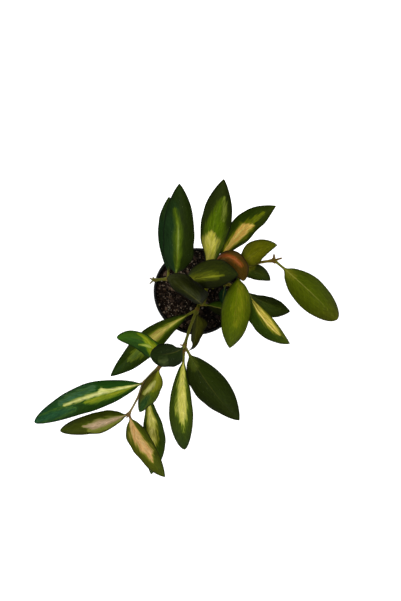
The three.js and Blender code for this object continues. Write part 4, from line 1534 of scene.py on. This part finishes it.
@dataclass(frozen=True)
class Pot:
    """The nursery pot: a thin tapered wall with a stiff collar and a rolled lip, and holes in its floor.

    Attributes:
        height: over all.
        rim_radius: at the lip.
        base_radius: where the wall would meet the ground.
        wall: its thickness.
        floor: its thickness.
        foot_bevel: width of the slope at the foot.
        foot_step: where that slope bends, as a share of it.
        collar_height: from the collar's lower edge to the rim.
        collar_step: how far the collar stands out.
        collar_draft: how far it narrows downwards.
        lip: how far the rolled lip stands out.
        lip_depth: height of the lip.
        lip_round: slope of its edges.
        bead: radius of the thin rings below the collar.
        bead_places: how far below the collar they run.
        sides: points round it.
        holes: how many drain holes there are.
        hole_radius: their radius.
        hole_ring: how far from the middle they lie.
        hole_sides: points round a hole.
        edge_round: how far sharp edges are rounded off.
        edge_angle: which edges count as sharp.
    """

    height: float = 70
    rim_radius: float = 40
    base_radius: float = 28
    wall: float = 1.2
    floor: float = 1.6
    foot_bevel: float = 1.2
    foot_step: float = 0.35
    collar_height: float = 9
    collar_step: float = 1.4
    collar_draft: float = 0.4
    lip: float = 0.8
    lip_depth: float = 1.6
    lip_round: float = 0.4
    bead: float = 0.35
    bead_places: tuple[float, ...] = (9, 6)
    sides: int = 128
    holes: int = 8
    hole_radius: float = 3
    hole_ring: float = 19
    hole_sides: int = 32
    edge_round: float = 0.18
    edge_angle: float = 32

    def wall_radius(self, z: float) -> float:
        """Outer radius of the tapered wall at a height."""
        top = self.rim_radius - self.collar_step - self.lip
        return self.base_radius + (top - self.base_radius) * z / self.height

    def profile(self) -> list[tuple[float, float]]:
        """Draws the pot's section.

        Returns:
            (radius, height) from the edge of the underside, up the outside, over the lip and down to the
            floor.
        """
        under = self.height - self.collar_height
        collar = self.rim_radius - self.lip
        beads = []
        for place in self.bead_places:
            for side in (-1, 0, 1):
                z = under - place + side * self.bead
                beads.append((self.wall_radius(z) + self.bead * (1 - abs(side)), z))
        bend = self.foot_step * self.foot_bevel
        return [
            (self.wall_radius(0) - self.foot_bevel, 0),
            (self.wall_radius(0) - bend, bend),
            (self.wall_radius(0), self.foot_bevel),
            *beads,
            (self.wall_radius(under), under),
            (collar - self.collar_draft, under),
            (collar, self.height - self.lip_depth - self.lip_round),
            (self.rim_radius, self.height - self.lip_depth),
            (self.rim_radius, self.height - self.lip_round),
            (self.rim_radius - self.lip_round, self.height),
            (collar - self.wall, self.height),
            (collar - self.wall, under + self.wall),
            (self.wall_radius(under) - self.wall, under),
            (self.wall_radius(self.floor) - self.wall, self.floor),
        ]

    def build(self, finish: bpy.types.Material) -> bpy.types.Object:
        """Makes the pot by extruding its underside along the section.

        Args:
            finish: its material.

        Returns:
            The finished piece.
        """
        outline = self.profile()
        clear_selection()
        radius, _ = outline[0]
        bpy.ops.mesh.primitive_circle_add(vertices=self.sides, radius=radius * MM, fill_type="NGON")
        piece = bpy.context.object
        bpy.ops.object.mode_set(mode="EDIT")
        bpy.ops.mesh.select_all(action="SELECT")
        bpy.ops.mesh.flip_normals()
        for (before, low), (after, high) in zip(outline, outline[1:]):
            rise = (high - low) * MM
            bpy.ops.mesh.extrude_region_move(TRANSFORM_OT_translate={"value": (0, 0, rise)})
            scale = after / before
            bpy.ops.transform.resize(value=(scale, scale, 1), center_override=(0, 0, high * MM))
        bpy.ops.mesh.select_all(action="SELECT")
        bpy.ops.mesh.normals_make_consistent(inside=False)
        bpy.ops.object.mode_set(mode="OBJECT")
        self._close_underside(piece)
        self._drill(piece)
        apply_modifier(piece, "BEVEL", width=self.edge_round * MM, segments=2, limit_method="ANGLE",
                       angle_limit=math.radians(self.edge_angle), use_clamp_overlap=True)
        smooth(piece, 35)
        settle(piece, "nursery_pot", ["pot"], finish)
        return piece

    @staticmethod
    def _close_underside(piece: bpy.types.Object) -> None:
        """Puts back the underside, which left with the extruded face.

        Args:
            piece: the pot.
        """
        mesh = bmesh.new()
        mesh.from_mesh(piece.data)
        loose = [edge for edge in mesh.edges if len(edge.link_faces) == 1]
        if loose:
            bmesh.ops.edgeloop_fill(mesh, edges=loose)
            bmesh.ops.recalc_face_normals(mesh, faces=mesh.faces)
        mesh.to_mesh(piece.data)
        mesh.free()

    def _drill(self, piece: bpy.types.Object) -> None:
        """Cuts the drain holes.

        Args:
            piece: the pot.
        """
        drills = []
        for i in range(self.holes):
            angle = math.tau * (i + 0.5) / self.holes
            x, y = self.hole_ring * math.cos(angle), self.hole_ring * math.sin(angle)
            clear_selection()
            bpy.ops.mesh.primitive_cylinder_add(
                vertices=self.hole_sides, radius=self.hole_radius * MM, depth=4 * self.floor * MM,
                location=(x * MM, y * MM, self.floor / 2 * MM),
            )
            drills.append(bpy.context.object)
        activate(*drills)
        bpy.ops.object.join()
        apply_modifier(piece, "BOOLEAN", operation="DIFFERENCE", object=drills[0], solver="EXACT")
        bpy.data.objects.remove(drills[0])


# ---- Potting mix ----


@dataclass(frozen=True)
class PaintedShade:
    """Painted shade of the leaves: the whole mix is made darker towards its +x side.

    Attributes:
        begin: the x where it begins to darken.
        end: the x from which it is darkest.
        depth: how much light is gone there.
    """

    begin: float = -20
    end: float = 4
    depth: float = 0.6

    def shade(self, shader: Shader, colour: Signal, place: Signal) -> Signal:
        """Darkens a colour towards the shaded side."""
        across = shader.split(place)[0]
        return shader.darken(colour, 1.0 - self.depth * across.ease(self.begin * MM, self.end * MM))


@dataclass(frozen=True)
class MixFinish:
    """Moist peat: nearly black brown, with lighter crumbs.

    Attributes:
        dark: its hollows.
        brown: its crumbs.
        browning: the noise levels at which it begins to turn brown and is all brown.
        roughness: of the surface.
        gloss: the specular level.
        relief: height of the bumps.
        crumb_waves: how many crumbs there are for each metre.
        clod_waves: the same of the clods.
        painted_shade: where it is darker.
    """

    dark: str = "100a06"
    brown: str = "2c1f14"
    browning: Span = (-0.15, 0.4)
    roughness: float = 0.9
    gloss: float = 0.05
    relief: float = 0.9
    crumb_waves: Point = (900, 900, 900)
    clod_waves: Point = (260, 260, 260)
    painted_shade: PaintedShade = PaintedShade()

    def build(self) -> bpy.types.Material:
        """Makes the material.

        Returns:
            The material.
        """
        shader = Shader("peat")
        place = shader.place()
        crumbs = shader.noise(place, self.crumb_waves, 5)
        clods = shader.noise(place, self.clod_waves, 4, 3.0)
        browned = (crumbs + 0.6 * clods).ease(*self.browning)
        colour = shader.mix(browned, pigment(self.dark), pigment(self.brown))
        # Painted shade of the leaves over the peat.
        colour = self.painted_shade.shade(shader, colour, place)
        sockets = {"Base Color": colour, "Roughness": self.roughness, "Specular IOR Level": self.gloss}
        return shader.finish(sockets, crumbs + clods, self.relief)


@dataclass(frozen=True)
class CrumbFinish:
    """Loose pieces with a fine grain, each in its own shade.

    Attributes:
        name: of the material.
        shades: colours from the darkest piece to the lightest.
        grain_waves: how many grains there are for each metre.
        contrast: how much lighter and darker the grain makes a piece.
        roughness: of the surface.
        gloss: the specular level.
        relief: height of the bumps.
        painted_shade: where they are darker.
    """

    name: str
    shades: tuple[str, ...]
    grain_waves: Point
    contrast: float = 1.1
    roughness: float = 0.85
    gloss: float = 0.1
    relief: float = 0.5
    painted_shade: PaintedShade = PaintedShade()

    def build(self) -> bpy.types.Material:
        """Makes the material.

        Returns:
            The material.
        """
        shader = Shader(self.name)
        tone, _, _ = shader.split(shader.attribute("tone"))
        place = shader.place()
        grain = shader.noise(place, self.grain_waves, 4)
        steps = [(i / (len(self.shades) - 1), pigment(shade)) for i, shade in enumerate(self.shades)]
        colour = shader.darken(shader.ramp(tone, steps), 1.0 + self.contrast * grain)
        # Painted shade of the leaves over the crumbs as well.
        colour = self.painted_shade.shade(shader, colour, place)
        sockets = {"Base Color": colour, "Roughness": self.roughness, "Specular IOR Level": self.gloss}
        return shader.finish(sockets, grain, self.relief)


@dataclass(frozen=True)
class Crumbs:
    """A kind of loose piece strewn over the potting mix.

    Attributes:
        name: of the piece that they make together.
        count: how many.
        least: half length of the smallest.
        most: half length of the largest.
        shape: how wide and how thick one is for its length.
        rough: how far its surface is knocked about.
        tilt: how steeply one may lie.
        sink: how much of its thickness lies below the surface.
        seed: of the draw.
        finish: its finish.
        cuts: how often its facets are divided.
        small: how far small ones outnumber large ones.
        room: how far from the wall one keeps, as a share of its half length.
        ball: how much of a ball is in its form.
        block: how much of a block is in it.
        knocks: (depth, waves for its half length) of the coarse and the fine knocks.
    """

    name: str
    count: int
    least: float
    most: float
    shape: Point
    rough: float
    tilt: float
    sink: float
    seed: int
    finish: CrumbFinish
    cuts: int = 3
    small: float = 2.2
    room: float = 0.8
    ball: float = 0.45
    block: float = 0.44
    knocks: tuple[tuple[float, float], ...] = ((1, 1.6), (0.5, 4.2))

    def model(self, draw: random.Random) -> bpy.types.Object:
        """Knocks one loose piece out of a ball.

        Args:
            draw: source of chance.

        Returns:
            The piece, 1 in half length.
        """
        clear_selection()
        bpy.ops.mesh.primitive_ico_sphere_add(subdivisions=self.cuts, radius=1)
        piece = bpy.context.object
        ball = points_of(piece)
        away = np.array([draw.random() * 40 for _ in range(3)])
        block = ball / np.abs(ball).max(axis=1, keepdims=True)
        form = self.ball * ball + self.block * block
        depths = np.array([
            sum(depth * noise.noise(Vector(place * waves + away)) for depth, waves in self.knocks)
            for place in form
        ])
        set_points(piece, form * (1 + self.rough * depths[:, None]) * np.array(self.shape))
        return piece


@dataclass(frozen=True)
class PottingMix:
    """The mix: a low dome of peat inside the pot, strewn with bark and perlite.

    Attributes:
        pot: what it fills.
        top: height of its crown.
        crown: how far it falls from there to the wall.
        clearance: gap between mix and pot.
        hollow: place and depth of the dip where the vines stand.
        hollow_radius: how wide that is.
        lumps: (waves for each millimetre, which layer of noise, height) of its clods, from coarse to fine.
        segments: points round it.
        rings: steps from its crown to its underside.
        models: how many different pieces each kind of crumb has.
    """

    pot: Pot = Pot()
    top: float = 68.3
    crown: float = 1.2
    clearance: float = 0.3
    hollow: Point = (16, -3, 7)
    hollow_radius: float = 7
    lumps: tuple[Point, ...] = ((0.16, 2.0, 1.1), (0.55, 5.0, 0.8), (1.6, 9.0, 0.35))
    segments: int = 160
    rings: int = 120
    models: int = 7

    # How far round the sphere the plug's edges come from, with 0 on top and 2 below.
    WALL = 1
    LEDGE = 1.1
    LEDGE_INSIDE = 1.13
    FOOT = 1.5
    MIDDLE = 2

    def edge_radius(self) -> float:
        """How far out the surface reaches at the wall."""
        return self.pot.rim_radius - self.pot.lip - self.pot.wall - self.clearance

    def level(self, x: float, y: float) -> float:
        """Works out the height of the surface.

        Args:
            x: where.
            y: where.

        Returns:
            The height, with the dip and the clods.
        """
        x0, y0, depth = self.hollow
        dome = self.top - self.crown * (math.hypot(x, y) / self.edge_radius()) ** 2
        dip = depth * math.exp(-(((x - x0) ** 2 + (y - y0) ** 2) / self.hollow_radius**2))
        clods = sum(
            noise.noise(Vector((x * waves, y * waves, layer))) * high for waves, layer, high in self.lumps
        )
        return dome - dip + clods

    def build_body(self, finish: bpy.types.Material) -> bpy.types.Object:
        """Makes the peat: a sphere whose upper half becomes the surface, and whose lower half the plug.

        Args:
            finish: its material.

        Returns:
            The finished piece.
        """
        clear_selection()
        bpy.ops.mesh.primitive_uv_sphere_add(segments=self.segments, ring_count=self.rings, radius=1)
        piece = bpy.context.object
        shape = points_of(piece)
        polar = np.arccos(np.clip(shape[:, 2], -1, 1)) / (math.pi / 2)
        bearing = np.arctan2(shape[:, 1], shape[:, 0])
        set_points(piece, np.array([self._lay(p, b) for p, b in zip(polar, bearing)]) * MM)
        smooth(piece, 60)
        settle(piece, "peat", ["soil"], finish)
        return piece

    def _lay(self, polar: float, bearing: float) -> Point:
        """Finds where a point of the sphere goes.

        Args:
            polar: how far round the sphere it is, with 0 on top and 2 below.
            bearing: its angle in plan.

        Returns:
            Its place.
        """
        rim = self.edge_radius()
        east, north = math.cos(bearing), math.sin(bearing)
        if polar <= self.WALL:
            reach = polar * rim
            return reach * east, reach * north, self.level(reach * east, reach * north)
        bottom = self.pot.floor + self.clearance
        ledge = self.pot.height - self.pot.collar_height + self.pot.wall + self.clearance
        edge = self.level(rim * east, rim * north)
        marks = (self.WALL, self.LEDGE, self.LEDGE_INSIDE, self.FOOT)
        z = float(np.interp(polar, marks, (edge, ledge, ledge, bottom)))
        inside = self.pot.wall_radius(min(z, ledge)) - self.pot.wall - self.clearance
        reach = float(np.interp(polar, (*marks, self.MIDDLE), (rim, rim, inside, inside, 0)))
        return reach * east, reach * north, z

    def strew(self, crumbs: Crumbs) -> bpy.types.Object:
        """Makes and places one kind of loose piece.

        Args:
            crumbs: the kind.

        Returns:
            All of them as one finished piece.
        """
        draw = random.Random(crumbs.seed)
        models = [crumbs.model(draw) for _ in range(self.models)]
        copies = [self._drop(crumbs, models, draw) for _ in range(crumbs.count)]
        for model in models:
            bpy.data.objects.remove(model)
        activate(*copies)
        bpy.ops.object.join()
        piece = copies[0]
        smooth(piece, 45)
        settle(piece, crumbs.name, [], crumbs.finish.build())
        return piece

    def _drop(
        self, crumbs: Crumbs, models: Sequence[bpy.types.Object], draw: random.Random
    ) -> bpy.types.Object:
        """Drops one loose piece somewhere on the surface.

        Args:
            crumbs: its kind.
            models: the pieces to choose from.
            draw: source of chance.

        Returns:
            The copy in its place, with a mesh of its own.
        """
        size = crumbs.least + (crumbs.most - crumbs.least) * draw.random() ** crumbs.small
        reach = math.sqrt(draw.random()) * (self.edge_radius() - crumbs.room * size)
        bearing = math.tau * draw.random()
        x, y = reach * math.cos(bearing), reach * math.sin(bearing)
        z = self.level(x, y) + size * crumbs.shape[2] * (1 - 2 * crumbs.sink)
        turn = Matrix.Rotation(math.tau * draw.random(), 4, "Z")
        tip = Matrix.Rotation(math.radians(crumbs.tilt) * (2 * draw.random() - 1), 4, "X")
        lean = Matrix.Rotation(math.radians(crumbs.tilt) * (2 * draw.random() - 1), 4, "Y")
        scale = Matrix.Diagonal((size * MM, size * MM, size * MM, 1))
        mesh = draw.choice(models).data.copy()
        mesh.transform(Matrix.Translation(Vector((x, y, z)) * MM) @ turn @ tip @ lean @ scale)
        copy = bpy.data.objects.new(crumbs.name, mesh)
        bpy.context.collection.objects.link(copy)
        tone = np.full(len(mesh.vertices), draw.random())
        store(copy, "tone", tone, tone, tone)
        return copy


BARK = Crumbs(
    "bark_chips", count=420, least=0.8, most=2.8, shape=(1.0, 0.6, 0.35), rough=0.5, tilt=30, sink=0.3,
    seed=7, finish=CrumbFinish("bark", ("100a06", "1c130b", "32241a", "5e4b3a"), (300, 300, 900)),
)
GRIT = Crumbs(
    "peat_crumbs", count=1500, least=0.35, most=1.3, shape=(1.0, 0.8, 0.6), rough=0.6, tilt=40, sink=0.25,
    seed=21, cuts=2, finish=CrumbFinish("grit", ("0e0906", "20160e", "40322a", "7c6c5c"), (900, 900, 900)),
)
PERLITE = Crumbs(
    "perlite", count=130, least=0.3, most=1.15, shape=(1.0, 0.85, 0.75), rough=0.45, tilt=40, sink=0.25,
    seed=5, finish=CrumbFinish("perlite_grain", ("584e40", "766b5a", "a39a8a"), (1500, 1500, 1500)),
)


# ---- Studio ----


@dataclass(frozen=True)
class FloorFinish:
    """A pale matt sheet that shines a little by itself, as a light table does.

    Attributes:
        colour: of the sheet.
        glow: how strongly it shines.
        roughness: of the surface.
        gloss: the specular level.
        relief: height of the bumps.
        speck_waves: how many specks there are for each metre.
    """

    colour: Colour = (0.92, 0.92, 0.91)
    glow: float = 0.55
    roughness: float = 0.7
    gloss: float = 0.2
    relief: float = 0.02
    speck_waves: Point = (40, 40, 40)

    def build(self) -> bpy.types.Material:
        """Makes the material.

        Returns:
            The material.
        """
        shader = Shader("pale_floor")
        speck = shader.noise(shader.place(), self.speck_waves, 2)
        sockets = {
            "Base Color": (*self.colour, 1),
            "Roughness": self.roughness,
            "Specular IOR Level": self.gloss,
            "Emission Color": (1, 1, 1, 1),
            "Emission Strength": self.glow,
        }
        return shader.finish(sockets, speck, self.relief)


@dataclass(frozen=True)
class Studio:
    """A pale floor, soft light from all round, and the camera straight above.

    Attributes:
        camera_place: where it stands.
        lens: its focal length.
        sensor: width of its sensor.
        near: where its view begins.
        far: where its view ends.
        floor_size: side of the floor.
        floor: its finish.
        sky: strength of the even light of the room.
        sky_colour: of that light.
        box_size: side of a softbox.
        box_distance: from the plant to a softbox.
        box_power: watts of a full softbox.
        boxes: (bearing, angle above the floor, share of the power) of each softbox.
    """

    camera_place: Point = (3.22, -8.43, 870)
    lens: float = 52.1
    sensor: float = 36
    near: float = 10
    far: float = 50000
    floor_size: float = 8000
    floor: FloorFinish = FloorFinish()
    sky: float = 0.06
    sky_colour: Colour = (1.0, 1.0, 0.99)
    box_size: float = 1400
    box_distance: float = 2000
    box_power: float = 28
    boxes: tuple[Point, ...] = ((0, 32, 1), (180, 32, 1), (90, 38, 0.8), (270, 18, 0.6))

    def build(self) -> None:
        """Sets the floor, the lights and the camera."""
        self._floor()
        self._sky()
        for bearing, height, share in self.boxes:
            self._softbox(bearing, height, share)
        self._camera()

    def _floor(self) -> None:
        """Lays the floor."""
        clear_selection()
        bpy.ops.mesh.primitive_plane_add(size=self.floor_size * MM, location=(0, 0, 0))
        floor = bpy.context.object
        floor.name = "floor"
        floor.data.materials.append(self.floor.build())

    def _sky(self) -> None:
        """Fills the room with an even pale light."""
        world = bpy.data.worlds.new("studio")
        world.use_nodes = True
        bpy.context.scene.world = world
        background = world.node_tree.nodes["Background"]
        background.inputs["Color"].default_value = (*self.sky_colour, 1)
        background.inputs["Strength"].default_value = self.sky

    def _softbox(self, bearing: float, height: float, share: float) -> None:
        """Hangs one large softbox, turned towards the plant.

        Args:
            bearing: its compass in plan.
            height: its angle above the floor.
            share: how much of the full power it has.
        """
        place = Vector(direction(bearing, height)) * (self.box_distance * MM)
        clear_selection()
        bpy.ops.object.light_add(type="AREA", location=place)
        box = bpy.context.object
        box.name = f"softbox_{bearing:.0f}"
        box.data.shape = "SQUARE"
        box.data.size = self.box_size * MM
        box.data.energy = self.box_power * share
        box.rotation_euler = (-place).to_track_quat("-Z", "Y").to_euler()

    def _camera(self) -> None:
        """Stands the camera straight above, looking down."""
        clear_selection()
        bpy.ops.object.camera_add(location=Vector(self.camera_place) * MM, rotation=(0, 0, 0))
        camera = bpy.context.object
        camera.name = "camera"
        camera.data.lens = self.lens
        camera.data.sensor_width = self.sensor
        camera.data.clip_start = self.near * MM
        camera.data.clip_end = self.far * MM
        bpy.context.scene.camera = camera
        bpy.context.scene.view_settings.view_transform = "Standard"


def main() -> None:
    """Builds the studio, the pot, the mix, the vines and the leaves, in that order."""
    logging.basicConfig(level=logging.INFO, format="%(name)s %(message)s")
    Studio().build()
    pot = Pot()
    pot.build(PotFinish().build())
    mix = PottingMix(pot)
    mix.build_body(MixFinish().build())
    for crumbs in (BARK, GRIT, PERLITE):
        mix.strew(crumbs)
    vines = {vine.name: vine for vine in VINES}
    for vine in VINES:
        vine.build()
    maker = LeafMaker()
    for number, leaf in enumerate(LEAVES):
        maker.build(leaf, vines[leaf.vine], PATTERN_START + PATTERN_STEP * number)


if __name__ == "__main__":
    main()
